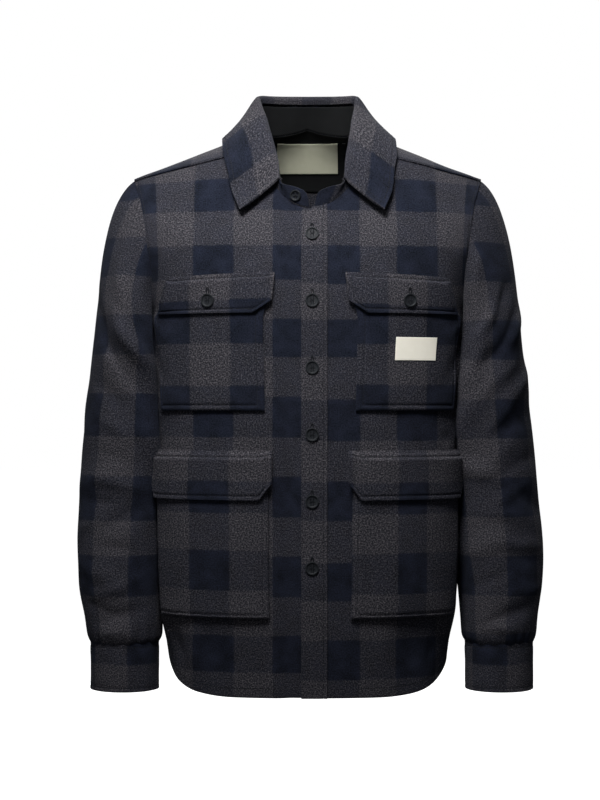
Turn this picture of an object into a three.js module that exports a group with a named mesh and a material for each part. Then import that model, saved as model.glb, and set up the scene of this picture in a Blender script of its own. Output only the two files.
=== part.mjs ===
import * as THREE from 'three';

// A wool shirt jacket as it is worn, hollow, with four flapped pockets.
// Millimetres, +Z up, the front faces -Y. The origin is the middle of the neck base.
// Side -1 is the wearer's right, side +1 the wearer's left.

// Cloth thicknesses
const woolThickness = 2.2;
const liningThickness = 0.8;
const standThickness = 1.6;
const facingThickness = 1.0;
const leafThickness = 3.0;
const bandThickness = 1.8;
const bagThickness = 2.4;
const flapThickness = 3.0;
const cuffThickness = 3.2;
const labelThickness = 0.6;

// Clearances at the seams and between layers
const edgeBack = 0.2;
const layerGap = 0.9;
const liningGap = 1.05;
const pocketGap = 1.2;
const seamStep = 1.2;
const armClearance = 2.2;

// The body, a section for each height: up the front, over the shoulder ridge, down the back.
// z and y are taken at the centre, half is the half width, edgeY and drop are taken at the edge,
// bend shapes the drop, and arc says how far round a quarter circle the section runs.
const bodySections = [
  { z: -722, y: -113, half: 190, edgeY: 0, drop: 0, bend: 2, arc: 90 },
  { z: -665, y: -117, half: 195, edgeY: 0, drop: 0, bend: 2, arc: 90 },
  { z: -610, y: -122, half: 206, edgeY: 0, drop: 0, bend: 2, arc: 90 },
  { z: -550, y: -125, half: 210, edgeY: 0, drop: 0, bend: 2, arc: 90 },
  { z: -460, y: -128, half: 212, edgeY: 0, drop: 0, bend: 2, arc: 90 },
  { z: -370, y: -131, half: 214, edgeY: 0, drop: 0, bend: 2, arc: 90 },
  { z: -290, y: -133, half: 219, edgeY: 0, drop: 0, bend: 2, arc: 90 },
  { z: -218, y: -133, half: 225, edgeY: 0, drop: 0, bend: 2, arc: 90 },
  { z: -188, y: -132, half: 219.5, edgeY: -42, drop: 4, bend: 2, arc: 80 },
  { z: -145, y: -127, half: 216, edgeY: -68, drop: 8, bend: 2, arc: 70 },
  { z: -105, y: -117, half: 218, edgeY: -79, drop: 14, bend: 1.8, arc: 62 },
  { z: -62, y: -98, half: 222, edgeY: -74, drop: 24, bend: 1.6, arc: 58 },
  { z: -18, y: -76, half: 229, edgeY: -52, drop: 34, bend: 1.4, arc: 56 },
  { z: 41, y: -46, half: 240, edgeY: -16, drop: 59, bend: 1, arc: 52 },
  { z: 85, y: 16, half: 242, edgeY: 4, drop: 100, bend: 1, arc: 50 },
  { z: 66, y: 57, half: 240, edgeY: 28, drop: 88, bend: 1, arc: 52 },
  { z: 4, y: 99, half: 232, edgeY: 66, drop: 50, bend: 1.5, arc: 56 },
  { z: -50, y: 119, half: 224, edgeY: 84, drop: 36, bend: 1.6, arc: 58 },
  { z: -100, y: 129, half: 218, edgeY: 90, drop: 20, bend: 1.8, arc: 62 },
  { z: -145, y: 133, half: 216, edgeY: 82, drop: 8, bend: 2, arc: 70 },
  { z: -188, y: 134, half: 219.5, edgeY: 48, drop: 4, bend: 2, arc: 80 },
  { z: -218, y: 134, half: 225, edgeY: 0, drop: 0, bend: 2, arc: 90 },
  { z: -290, y: 131, half: 219, edgeY: 0, drop: 0, bend: 2, arc: 90 },
  { z: -370, y: 125, half: 214, edgeY: 0, drop: 0, bend: 2, arc: 90 },
  { z: -460, y: 119, half: 212, edgeY: 0, drop: 0, bend: 2, arc: 90 },
  { z: -550, y: 116, half: 210, edgeY: 0, drop: 0, bend: 2, arc: 90 },
  { z: -610, y: 115, half: 206, edgeY: 0, drop: 0, bend: 2, arc: 90 },
  { z: -665, y: 114, half: 195, edgeY: 0, drop: 0, bend: 2, arc: 90 },
  { z: -728, y: 113, half: 190, edgeY: 0, drop: 0, bend: 2, arc: 90 },
];
const sectionRoundness = 0.8;

// Places in the section table
const frontHemRow = 0;
const frontArmpitRow = 7;
const neckFrontRow = 11;
const frontYokeRow = 13;
const ridgeRow = 14;
const neckBackRow = 15;
const backYokeRow = 16;
const backArmpitRow = 21;
const backHemRow = 28;

// Shirt-tail hem: it rises towards the side seam
const hemRise = 58;
const hemFlatShare = 0.23;
const hemPower = 2.6;

// Neckline and front closure
const neckHalf = 74;
const frontCentre = 5.6;
const frontEdge = { left: -9, right: -21 };
const overlapDip = woolThickness + layerGap;
const dipStart = 42;
const dipEnd = 20;
const edgeTurnLow = -100;
const edgeTurnHigh = -62;
const bandOuter = 26;

// Long soft folds of the body, each a ridge or, below zero, a trough.
// across is the distance from the centre line over the cloth, lean is in degrees from level.
const bodyFolds = [
  { side: -1, face: 'front', across: 196, along: -250, lean: 62, length: 90, width: 16, depth: -4 },
  { side: -1, face: 'front', across: 222, along: -330, lean: 84, length: 120, width: 18, depth: -4 },
  { side: 1, face: 'front', across: 190, along: -252, lean: 60, length: 80, width: 16, depth: -4 },
  { side: 1, face: 'front', across: 224, along: -380, lean: 82, length: 130, width: 18, depth: -4 },
  { side: 1, face: 'front', across: 118, along: -660, lean: 80, length: 90, width: 24, depth: -3 },
  { side: -1, face: 'front', across: 140, along: -668, lean: 98, length: 80, width: 22, depth: 3 },
  { side: -1, face: 'back', across: 180, along: -205, lean: 55, length: 110, width: 18, depth: -5 },
  { side: -1, face: 'back', across: 128, along: -330, lean: 66, length: 150, width: 24, depth: 4 },
  { side: -1, face: 'back', across: 86, along: -470, lean: 80, length: 190, width: 26, depth: -5 },
  { side: -1, face: 'back', across: 160, along: -590, lean: 86, length: 160, width: 24, depth: 4 },
  { side: 1, face: 'back', across: 186, along: -212, lean: 58, length: 100, width: 18, depth: -5 },
  { side: 1, face: 'back', across: 118, along: -300, lean: 70, length: 130, width: 22, depth: 4 },
  { side: 1, face: 'back', across: 70, along: -430, lean: 84, length: 200, width: 28, depth: -4 },
  { side: 1, face: 'back', across: 150, along: -560, lean: 82, length: 180, width: 24, depth: -4 },
  { side: 1, face: 'back', across: 34, along: -620, lean: 90, length: 150, width: 26, depth: 4 },
];
const quarterGirth = 262;

// Sleeves, a section for each height below the armhole
const sleeveSections = [
  { z: -236, outer: 296, inner: 194, front: -82, back: 88 },
  { z: -300, outer: 303, inner: 190, front: -77, back: 82 },
  { z: -380, outer: 311, inner: 190, front: -71, back: 74 },
  { z: -460, outer: 316, inner: 192, front: -67, back: 66 },
  { z: -520, outer: 319, inner: 196, front: -66, back: 58 },
  { z: -575, outer: 316, inner: 202, front: -66, back: 50 },
  { z: -620, outer: 310, inner: 203, front: -67, back: 43 },
  { z: -655, outer: 304, inner: 204, front: -64, back: 36 },
];
const sleeveLean = { right: 0, left: 12 };
const capReach = 0.7;
const sleeveGirth = 400;
const sleeveFolds = [
  { side: 1, around: 0.2, along: -192, lean: -47, length: 66, width: 11, depth: 6 },
  { side: 1, around: 0.14, along: -232, lean: -40, length: 74, width: 12, depth: -6 },
  { side: 1, around: 0.27, along: -150, lean: -62, length: 60, width: 12, depth: -6 },
  { side: 1, around: 0.24, along: -262, lean: -30, length: 62, width: 13, depth: 5 },
  { side: 1, around: 0.32, along: -330, lean: -62, length: 74, width: 14, depth: -6 },
  { side: 1, around: 0.16, along: -352, lean: -24, length: 70, width: 14, depth: 4 },
  { side: 1, around: 0.3, along: -420, lean: 18, length: 60, width: 13, depth: -5 },
  { side: 1, around: 0.14, along: -455, lean: 30, length: 64, width: 14, depth: 4 },
  { side: 1, around: 0.3, along: -520, lean: -20, length: 60, width: 14, depth: -4 },
  { side: 1, around: 0.2, along: -612, lean: -12, length: 56, width: 12, depth: 5 },
  { side: 1, around: 0.8, along: -240, lean: 44, length: 80, width: 14, depth: -6 },
  { side: 1, around: 0.74, along: -318, lean: 34, length: 70, width: 14, depth: 5 },
  { side: 1, around: 0.82, along: -430, lean: -16, length: 66, width: 14, depth: -5 },
  { side: 1, around: 0.72, along: -500, lean: 14, length: 66, width: 14, depth: 4 },
  { side: 1, around: 0.8, along: -606, lean: 12, length: 60, width: 13, depth: 5 },
  { side: -1, around: 0.2, along: -170, lean: -68, length: 70, width: 12, depth: -5 },
  { side: -1, around: 0.12, along: -220, lean: -52, length: 76, width: 13, depth: 5 },
  { side: -1, around: 0.27, along: -250, lean: -44, length: 66, width: 13, depth: -5 },
  { side: -1, around: 0.2, along: -318, lean: -36, length: 70, width: 14, depth: 4 },
  { side: -1, around: 0.33, along: -372, lean: -64, length: 84, width: 14, depth: -6 },
  { side: -1, around: 0.15, along: -430, lean: 14, length: 66, width: 14, depth: -4 },
  { side: -1, around: 0.28, along: -478, lean: 26, length: 60, width: 13, depth: 4 },
  { side: -1, around: 0.18, along: -560, lean: -22, length: 66, width: 14, depth: -4 },
  { side: -1, around: 0.25, along: -616, lean: 10, length: 60, width: 12, depth: 5 },
  { side: -1, around: 0.78, along: -228, lean: 50, length: 84, width: 14, depth: -6 },
  { side: -1, around: 0.83, along: -330, lean: 30, length: 70, width: 14, depth: 5 },
  { side: -1, around: 0.75, along: -440, lean: -12, length: 70, width: 14, depth: -5 },
  { side: -1, around: 0.8, along: -520, lean: 18, length: 64, width: 14, depth: 4 },
  { side: -1, around: 0.74, along: -610, lean: 8, length: 62, width: 13, depth: 5 },
];

// Cuffs, a tube that laps over itself at the back
const cuffTop = -655.1;
const cuffBottom = -722;
const cuffSize = { outer: 301.5, inner: 206.5, front: -61, back: 33 };
const cuffLapStart = 0.82;
const cuffLap = 0.09;

// Collar, a row for each turn from the centre back, 0, to the front edge, 1
const standTop = [
  { turn: 0, x: 0, y: 47, z: 97 },
  { turn: 0.12, x: 31, y: 45, z: 97 },
  { turn: 0.25, x: 58, y: 37, z: 97 },
  { turn: 0.38, x: 69, y: 24, z: 93 },
  { turn: 0.5, x: 67, y: 4, z: 78 },
  { turn: 0.583, x: 61, y: -28, z: 54 },
  { turn: 0.667, x: 54, y: -54, z: 26 },
  { turn: 0.76, x: 48, y: -76, z: 0 },
  { turn: 0.86, x: 44, y: -92, z: -27 },
  { turn: 0.93, x: 24, y: -99, z: -33 },
  { turn: 0.97, x: 10, y: -101, z: -40 },
  { turn: 1, x: 3, y: -99, z: -54 },
];
const leafEdge = [
  { turn: 0, x: 0, y: 86, z: 54, rise: 11 },
  { turn: 0.12, x: 40, y: 84, z: 53, rise: 11 },
  { turn: 0.25, x: 80, y: 68, z: 49, rise: 11 },
  { turn: 0.38, x: 110, y: 36, z: 48, rise: 11 },
  { turn: 0.5, x: 121, y: -3, z: 43, rise: 9 },
  { turn: 0.583, x: 120, y: -43, z: 20, rise: 8 },
  { turn: 0.667, x: 114, y: -70, z: -7, rise: 7 },
  { turn: 0.76, x: 109, y: -90, z: -36, rise: 6 },
  { turn: 0.86, x: 97, y: -112, z: -66, rise: 4 },
];
const leafEnd = 0.86;
const standEnd = 0.985;
const leafRoll = 9;

// Pockets on each front, by the share of the quarter girth that they span and by height
const chestPocket = {
  bagStart: 0.122, bagEnd: 0.7, flapStart: 0.105, flapEnd: 0.725,
  flapTop: -152, flapBottom: -206, bagTop: -166, bagBottom: -336,
  clipWide: 15, clipHigh: 17, standOff: 1.2,
};
const hipPocket = {
  bagStart: 0.112, bagEnd: 0.785, flapStart: 0.098, flapEnd: 0.8,
  flapTop: -389, flapBottom: -455, bagTop: -404, bagBottom: -615,
  clipWide: 12, clipHigh: 23, standOff: 3.8,
};
const leftPocketShift = 0.016;
const flapRamp = 0.2;

// Buttons
const buttonRadius = 9;
const buttonHeight = 3.2;
const buttonRim = 1.7;
const buttonDish = 1.2;
const buttonSides = 12;
const frontButtons = 6;
const firstButton = -100.5;
const buttonStep = 89.1;
const smallButtonRadius = 7.5;
const buttonGap = 0.7;
const cuffButtonGap = 0.1;

// Labels
const neckLabel = { wide: 89, top: 0.12, bottom: 0.86 };
const chestLabel = { start: 0.29, end: 0.505, top: -238, bottom: -269 };

const degree = Math.PI / 180;

// Colours of the solids
const finishes = {
  wool: { color: 0x30343f, roughness: 0.95, metalness: 0 },
  lining: { color: 0x17181a, roughness: 0.6, metalness: 0 },
  button: { color: 0x15161b, roughness: 0.45, metalness: 0 },
  label: { color: 0xcbc6b2, roughness: 0.8, metalness: 0 },
};

const jacket = new THREE.Group();

function addPiece(name, geometry, finish) {
  const mesh = new THREE.Mesh(geometry, new THREE.MeshStandardMaterial(finishes[finish]));
  mesh.name = name;
  jacket.add(mesh);
  return mesh;
}

// Numbers between the rows of a table, never past the rows' own values
function readTable(rows, column, place) {
  const last = rows.length - 1;
  const at = Math.min(Math.max(place, 0), last);
  const index = Math.min(Math.floor(at), last - 1);
  const value = (offset) => rows[Math.min(Math.max(index + offset, 0), last)][column];
  const slope = (offset) => value(offset + 1) - value(offset);
  const blend = (one, other) => (one * other <= 0 ? 0 : (2 * one * other) / (one + other));
  const startSlope = index === 0 ? slope(0) : blend(slope(-1), slope(0));
  const endSlope = index === last - 1 ? slope(0) : blend(slope(0), slope(1));
  const part = at - index;
  const rest = 1 - part;
  return value(0) * (1 + 2 * part) * rest * rest + startSlope * part * rest * rest
    + value(1) * part * part * (3 - 2 * part) - endSlope * part * part * rest;
}

// Numbers from a table whose rows are placed by their turn
function readTurn(rows, column, turn) {
  let index = 0;
  while (index < rows.length - 2 && rows[index + 1].turn < turn) index += 1;
  const span = rows[index + 1].turn - rows[index].turn;
  return readTable(rows, column, index + (turn - rows[index].turn) / span);
}

function mix(start, end, part) {
  return start + (end - start) * part;
}

function ease(start, end, value) {
  const part = Math.min(Math.max((value - start) / (end - start), 0), 1);
  return part * part * (3 - 2 * part);
}

function signedPower(value, power) {
  return Math.sign(value) * Math.abs(value) ** power;
}

function foldHeight(row, across, along) {
  const lean = row.lean * degree;
  const run = across * Math.cos(lean) + along * Math.sin(lean);
  const off = along * Math.cos(lean) - across * Math.sin(lean);
  const reach = Math.min(Math.abs(run) / row.length, 1);
  return row.depth * Math.exp(-((off / row.width) ** 2)) * (1 - reach * reach) ** 2;
}

// Body surface, before folds
function bodyBase(side, place, across) {
  const read = (column) => readTable(bodySections, column, place);
  const arc = read('arc') * degree;
  const angle = across * arc;
  const spread = signedPower(Math.sin(angle), sectionRoundness) / signedPower(Math.sin(arc), sectionRoundness);
  const rim = signedPower(Math.cos(arc), sectionRoundness);
  const crown = (signedPower(Math.cos(angle), sectionRoundness) - rim) / (1 - rim);
  return new THREE.Vector3(
    side * read('half') * spread,
    mix(read('edgeY'), read('y'), crown),
    read('z') - read('drop') * Math.abs(spread) ** read('bend'));
}

function acrossAt(place, lateral) {
  const arc = readTable(bodySections, 'arc', place) * degree;
  const spread = lateral / readTable(bodySections, 'half', place);
  const sine = signedPower(spread * signedPower(Math.sin(arc), sectionRoundness), 1 / sectionRoundness);
  return Math.asin(Math.min(Math.max(sine, -1), 1)) / arc;
}

function placeAtHeight(z, from, to) {
  const rising = bodySections[to].z > bodySections[from].z;
  let low = from;
  let high = to;
  for (let step = 0; step < 30; step += 1) {
    const middle = (low + high) / 2;
    const above = readTable(bodySections, 'z', middle) > z;
    if (above === rising) high = middle;
    else low = middle;
  }
  return (low + high) / 2;
}

const frontPlace = (z) => placeAtHeight(z, frontHemRow, ridgeRow);
const backPlace = (z) => placeAtHeight(z, ridgeRow, backHemRow);

function bodyNormal(side, place, across) {
  const alongStep = 0.02;
  const acrossStep = 0.01;
  const up = bodyBase(side, place + alongStep, across).sub(bodyBase(side, place - alongStep, across));
  const out = bodyBase(side, place, across + acrossStep).sub(bodyBase(side, place, across - acrossStep));
  return out.cross(up).multiplyScalar(side).normalize();
}

// A point of the body cloth, lifted off it along its normal, and that normal
function onBody(side, place, across, lift) {
  const normal = bodyNormal(side, place, across);
  const point = bodyBase(side, place, across);
  const face = place < ridgeRow ? 'front' : 'back';
  const height = readTable(bodySections, 'z', place);
  let fold = 0;
  for (const row of bodyFolds) {
    if (row.side === side && row.face === face) {
      fold += foldHeight(row, across * quarterGirth - row.across, height - row.along);
    }
  }
  point.addScaledVector(normal, lift + fold * ease(1, 0.96, across));
  return { point, normal };
}

// A closed wall: the grid is its outer face and the thickness goes inwards.
// Each free edge is drawn back a little, which leaves the gap at a seam.
function clothWall(grid, thickness, wraps = false) {
  const rows = grid.length;
  const columns = grid[0].length;
  const outer = grid.map((row) => row.map((cell) => cell.point.clone()));
  const drawBack = (edge, neighbour) => edge.addScaledVector(neighbour.clone().sub(edge).normalize(), edgeBack);
  for (let column = 0; column < columns; column += 1) {
    drawBack(outer[0][column], outer[1][column]);
    drawBack(outer[rows - 1][column], outer[rows - 2][column]);
  }
  for (let row = 0; row < rows && !wraps; row += 1) {
    drawBack(outer[row][0], outer[row][1]);
    drawBack(outer[row][columns - 1], outer[row][columns - 2]);
  }
  const inner = outer.map((line, row) => line.map((point, column) => {
    const through = typeof thickness === 'function' ? thickness(row, column) : thickness;
    return point.clone().addScaledVector(grid[row][column].normal, -through);
  }));
  return closedShell(outer, inner, wraps);
}

function closedShell(outer, inner, wraps) {
  const rows = outer.length;
  const columns = outer[0].length;
  const positions = [];
  for (const layer of [outer, inner]) {
    for (const line of layer) {
      for (const point of line) positions.push(point.x, point.y, point.z);
    }
  }
  const corner = (layer, row, column) => (layer * rows + row) * columns + (column % columns);
  const faces = [];
  const quad = (a, b, c, d) => faces.push(a, b, c, a, c, d);
  const lastColumn = wraps ? columns : columns - 1;
  for (let row = 0; row < rows - 1; row += 1) {
    for (let column = 0; column < lastColumn; column += 1) {
      quad(corner(0, row, column), corner(0, row, column + 1),
        corner(0, row + 1, column + 1), corner(0, row + 1, column));
      quad(corner(1, row, column), corner(1, row + 1, column),
        corner(1, row + 1, column + 1), corner(1, row, column + 1));
    }
  }
  for (let column = 0; column < lastColumn; column += 1) {
    quad(corner(0, 0, column), corner(1, 0, column), corner(1, 0, column + 1), corner(0, 0, column + 1));
    quad(corner(0, rows - 1, column), corner(0, rows - 1, column + 1),
      corner(1, rows - 1, column + 1), corner(1, rows - 1, column));
  }
  for (let row = 0; row < rows - 1 && !wraps; row += 1) {
    quad(corner(0, row, 0), corner(0, row + 1, 0), corner(1, row + 1, 0), corner(1, row, 0));
    quad(corner(0, row, columns - 1), corner(1, row, columns - 1),
      corner(1, row + 1, columns - 1), corner(0, row + 1, columns - 1));
  }
  if (enclosedVolume(positions, faces) < 0) {
    for (let index = 0; index < faces.length; index += 3) {
      [faces[index + 1], faces[index + 2]] = [faces[index + 2], faces[index + 1]];
    }
  }
  const geometry = new THREE.BufferGeometry();
  geometry.setAttribute('position', new THREE.Float32BufferAttribute(positions, 3));
  geometry.setIndex(faces);
  geometry.computeVertexNormals();
  return geometry;
}

function enclosedVolume(positions, faces) {
  const corner = (index) => new THREE.Vector3().fromArray(positions, faces[index] * 3);
  let volume = 0;
  for (let index = 0; index < faces.length; index += 3) {
    volume += corner(index).dot(corner(index + 1).cross(corner(index + 2)));
  }
  return volume;
}

function makeGrid(rowStops, columnStops, cell) {
  return rowStops.map((row) => columnStops.map((column) => cell(row, column)));
}

function evenStops(count, start = 0, end = 1) {
  return Array.from({ length: count + 1 }, (_, index) => mix(start, end, index / count));
}

// Normals of a grid of points whose surface has no formula of its own
function withNormals(points, wraps, side) {
  const rows = points.length;
  const columns = points[0].length;
  return points.map((line, row) => line.map((point, column) => {
    const up = points[Math.min(row + 1, rows - 1)][column].clone().sub(points[Math.max(row - 1, 0)][column]);
    const next = wraps ? (column + 1) % columns : Math.min(column + 1, columns - 1);
    const previous = wraps ? (column + columns - 1) % columns : Math.max(column - 1, 0);
    const round = line[next].clone().sub(line[previous]);
    return { point, normal: round.cross(up).multiplyScalar(side).normalize() };
  }));
}

// Neckline on the body: turn 0 is the centre back and turn 1 the centre front
function necklineAt(side, turn) {
  const angle = Math.PI * (1 - turn);
  const reach = Math.cos(angle) > 0 ? ridgeRow - neckFrontRow : neckBackRow - ridgeRow;
  const place = ridgeRow - reach * Math.cos(angle);
  const lateral = neckHalf * Math.sin(angle) + side * frontCentre * ease(0.35, 0.8, turn);
  return { place, across: acrossAt(place, lateral) };
}

const yokeTurn = 1 - Math.acos((ridgeRow - frontYokeRow) / (ridgeRow - neckFrontRow)) / Math.PI;

function hemPlace(across, isFront) {
  const share = Math.max((Math.abs(across) - hemFlatShare) / (1 - hemFlatShare), 0);
  const lowest = bodySections[isFront ? frontHemRow : backHemRow].z;
  const sideRise = isFront ? hemRise : hemRise + bodySections[frontHemRow].z - lowest;
  const height = lowest + sideRise * share ** hemPower;
  return isFront ? frontPlace(height) : backPlace(height);
}

// Fronts
const frontRows = 20;
const neckColumns = 4;
const seamColumns = 9;
const hemShares = [0, 0.05, 0.1, 0.15, 0.21, 0.28, 0.36, 0.45, 0.54, 0.63, 0.72, 0.81, 0.9, 1];

function frontEdgeAcross(side, place) {
  const open = side > 0 ? frontEdge.left : frontEdge.right;
  const height = readTable(bodySections, 'z', place);
  const lateral = mix(open, side * frontCentre, ease(edgeTurnLow, edgeTurnHigh, height));
  return acrossAt(place, lateral);
}

function frontDip(side, place, across) {
  const lateral = bodyBase(1, place, across).x;
  return side > 0 ? 0 : -overlapDip * ease(dipStart, dipEnd, lateral);
}

function frontPanel(side) {
  const topStops = [
    ...evenStops(neckColumns, 1, yokeTurn).map((turn) => necklineAt(side, turn)),
    ...evenStops(seamColumns, 0, 1).slice(1).map((part) => ({
      place: frontYokeRow,
      across: mix(necklineAt(side, yokeTurn).across, 1, part),
    })),
  ];
  const grid = makeGrid(evenStops(frontRows), hemShares, (up, part) => {
    const top = topStops[hemShares.indexOf(part)];
    const lowEdge = frontEdgeAcross(side, frontHemRow);
    const lowAcross = mix(lowEdge, 1, part);
    const place = mix(hemPlace(lowAcross, true), top.place, up);
    const edge = frontEdgeAcross(side, place);
    const topEdge = frontEdgeAcross(side, neckFrontRow);
    const topShare = Math.max((top.across - topEdge) / (1 - topEdge), 0);
    const across = mix(edge, 1, mix(part, topShare, up));
    return onBody(side, place, across, frontDip(side, place, across));
  });
  return clothWall(grid, woolThickness);
}

for (const side of [-1, 1]) {
  addPiece(side > 0 ? 'front_left' : 'front_right', frontPanel(side), 'wool');
}

// Back
const backRows = 16;
const backColumns = 20;
const backSeamStep = 0.025;
addPiece('back', clothWall(makeGrid(evenStops(backRows), evenStops(backColumns, -1, 1), (down, across) => {
  const place = mix(backYokeRow + backSeamStep, hemPlace(across, false), down);
  return onBody(Math.sign(across) || 1, place, Math.abs(across), 0);
}), woolThickness), 'wool');

// Yoke and its lining, from the neckline out to the armholes and the back seam
const yokeTurns = 22;
const yokeReach = 6;
const yokeCorner = (yokeTurn * 5) / 11;

function yokeCell(sidedTurn, reach, lift) {
  const side = sidedTurn < 0 ? -1 : 1;
  const turn = Math.abs(sidedTurn);
  const start = necklineAt(side, turn);
  const cornerPart = Math.min(turn / yokeCorner, 1);
  const armPart = Math.max((turn - yokeCorner) / (yokeTurn - yokeCorner), 0);
  const endPlace = mix(backYokeRow, frontYokeRow, armPart);
  const place = mix(start.place, endPlace, reach);
  const across = mix(start.across, cornerPart, reach);
  return onBody(side, place, across, lift);
}

function yokeGrid(lift) {
  return makeGrid(evenStops(yokeReach), evenStops(yokeTurns, -yokeTurn, yokeTurn),
    (reach, turn) => yokeCell(turn, reach, lift));
}

addPiece('yoke', clothWall(yokeGrid(0), woolThickness), 'wool');
const liningLift = -woolThickness - liningGap;
addPiece('yoke_lining', clothWall(yokeGrid(liningLift), liningThickness), 'lining');

// Button band on the left front
const bandRows = 30;
addPiece('button_band', clothWall(makeGrid(evenStops(bandRows), evenStops(3), (up, part) => {
  const topLateral = mix(frontCentre, bandOuter, part);
  const sine = (topLateral - frontCentre) / neckHalf;
  const topPlace = ridgeRow - (ridgeRow - neckFrontRow) * Math.sqrt(1 - sine * sine);
  const place = mix(frontHemRow, topPlace, up);
  const across = mix(frontEdgeAcross(1, place), acrossAt(place, bandOuter), part);
  return onBody(1, place, across, layerGap + bandThickness);
}), bandThickness), 'wool');

// Sleeves
const sleeveRound = 22;
const capStops = [0, 0.12, 0.28, 0.46, 0.64, 0.82];
const armStops = 15;

function armholePoint(side, around) {
  const share = around <= 0.5 ? around * 2 : (1 - around) * 2;
  const place = around <= 0.5
    ? mix(ridgeRow, frontArmpitRow, share)
    : mix(ridgeRow, backArmpitRow, share);
  const { point, normal } = onBody(side, place, 1, 0);
  return point.addScaledVector(normal, edgeBack * 2).add(new THREE.Vector3(side * seamStep, 0, 0));
}

function armPoint(side, place, around) {
  const read = (column) => readTable(sleeveSections, column, place);
  const top = sleeveSections[0].z;
  const bottom = sleeveSections[sleeveSections.length - 1].z;
  const z = read('z');
  const shift = (side > 0 ? sleeveLean.left : sleeveLean.right) * Math.max((z - top) / (bottom - top), 0) ** 1.5;
  const angle = around * 2 * Math.PI;
  const centre = (read('outer') + read('inner')) / 2 + shift;
  const radius = (read('outer') - read('inner')) / 2;
  const depth = (read('back') - read('front')) / 2;
  const y = (read('back') + read('front')) / 2 - depth * Math.sin(angle);
  const x = Math.max(centre + radius * Math.cos(angle), bodySide(y, z) + armClearance);
  return new THREE.Vector3(side * x, y, z);
}

// Half width of the body at a height and depth, below the armpit
function bodySide(y, z) {
  const place = y < 0 ? frontPlace(z) : backPlace(z);
  const crown = Math.abs(y / readTable(bodySections, 'y', place));
  const spread = (1 - Math.min(crown, 1) ** (2 / sectionRoundness)) ** (sectionRoundness / 2);
  return readTable(bodySections, 'half', place) * spread;
}

function sleevePoint(side, place, around) {
  let point;
  if (place >= 1) {
    point = armPoint(side, place - 1, around);
  } else {
    const start = armholePoint(side, around);
    const end = armPoint(side, 0, around);
    const under = (1 - Math.cos(around * 2 * Math.PI)) / 2;
    const reach = start.distanceTo(end) * capReach;
    const leave = new THREE.Vector3(side * mix(1, 0.25, under), 0, mix(-0.5, -0.95, under));
    leave.normalize().multiplyScalar(reach);
    const arrive = armPoint(side, 0.5, around).sub(end).normalize().multiplyScalar(reach);
    const rest = 1 - place;
    point = start.multiplyScalar((1 + 2 * place) * rest * rest)
      .addScaledVector(leave, place * rest * rest)
      .addScaledVector(end, place * place * (3 - 2 * place))
      .addScaledVector(arrive, -place * place * rest);
  }
  return point;
}

function sleeveFoldHeight(side, around, z) {
  let height = 0;
  for (const row of sleeveFolds) {
    if (row.side === side) {
      const turn = around - row.around;
      const nearest = turn - Math.round(turn);
      height += foldHeight(row, nearest * sleeveGirth, z - row.along);
    }
  }
  return height * ease(0.44, 0.36, around) + height * ease(0.58, 0.66, around);
}

function sleeve(side) {
  const places = [...capStops, ...evenStops(armStops, 1, sleeveSections.length)];
  const rounds = evenStops(sleeveRound).slice(0, -1);
  const points = makeGrid(places, rounds, (place, around) => sleevePoint(side, place, around));
  const grid = withNormals(points, true, side);
  grid.forEach((line, row) => line.forEach((cell, column) => {
    const fade = ease(0, 0.3, places[row]) * ease(sleeveSections.length, sleeveSections.length - 0.3, places[row]);
    cell.point.addScaledVector(cell.normal, fade * sleeveFoldHeight(side, rounds[column], cell.point.z));
  }));
  return clothWall(grid, woolThickness, true);
}

for (const side of [-1, 1]) {
  addPiece(side > 0 ? 'sleeve_left' : 'sleeve_right', sleeve(side), 'wool');
}

// Cuffs
const cuffRound = 26;
const cuffRows = 3;

function cuffCell(side, up, part) {
  const around = cuffLapStart + part * (1 + cuffLap);
  const overlap = ease(1, 1 + cuffLap * 0.6, part * (1 + cuffLap)) * (cuffThickness + layerGap);
  const angle = around * 2 * Math.PI;
  const shift = side > 0 ? sleeveLean.left : sleeveLean.right;
  const centreX = (cuffSize.outer + cuffSize.inner) / 2 + shift;
  const centreY = (cuffSize.front + cuffSize.back) / 2;
  const radiusX = (cuffSize.outer - cuffSize.inner) / 2;
  const radiusY = (cuffSize.back - cuffSize.front) / 2;
  const normal = new THREE.Vector3(side * Math.cos(angle) * radiusY, -Math.sin(angle) * radiusX, 0).normalize();
  const point = new THREE.Vector3(side * (centreX + radiusX * Math.cos(angle)), centreY - radiusY * Math.sin(angle),
    mix(cuffBottom, cuffTop, up));
  return { point: point.addScaledVector(normal, overlap), normal };
}

for (const side of [-1, 1]) {
  const grid = makeGrid(evenStops(cuffRows), evenStops(cuffRound), (up, part) => cuffCell(side, up, part));
  addPiece(side > 0 ? 'cuff_left' : 'cuff_right', clothWall(grid, cuffThickness), 'wool');
}

// Collar stand, its facing and the leaf
const collarTurns = 28;

function standCell(sidedTurn, up) {
  const side = sidedTurn < 0 ? -1 : 1;
  const turn = Math.abs(sidedTurn);
  const start = necklineAt(side, turn);
  const low = onBody(side, start.place, start.across, 0).point;
  const high = new THREE.Vector3(
    side * readTurn(standTop, 'x', turn) + frontCentre * ease(0.35, 0.8, turn),
    readTurn(standTop, 'y', turn), readTurn(standTop, 'z', turn));
  return low.lerp(high, up);
}

function standGrid(lift, rows) {
  const turns = evenStops(collarTurns, -standEnd, standEnd);
  const points = makeGrid(evenStops(rows, 0.05, 0.93), turns, (up, turn) => standCell(turn, up));
  const grid = withNormals(points, false, -1);
  grid.forEach((line) => line.forEach((cell) => {
    cell.point.addScaledVector(cell.normal, lift);
  }));
  return grid;
}

addPiece('collar_stand', clothWall(standGrid(0, 2), standThickness), 'wool');
addPiece('stand_facing', clothWall(standGrid(-standThickness - 0.3, 2), facingThickness), 'lining');

const leafStops = [0, 0.1, 0.2, 0.3, 0.42, 0.6, 0.8, 1];

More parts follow.
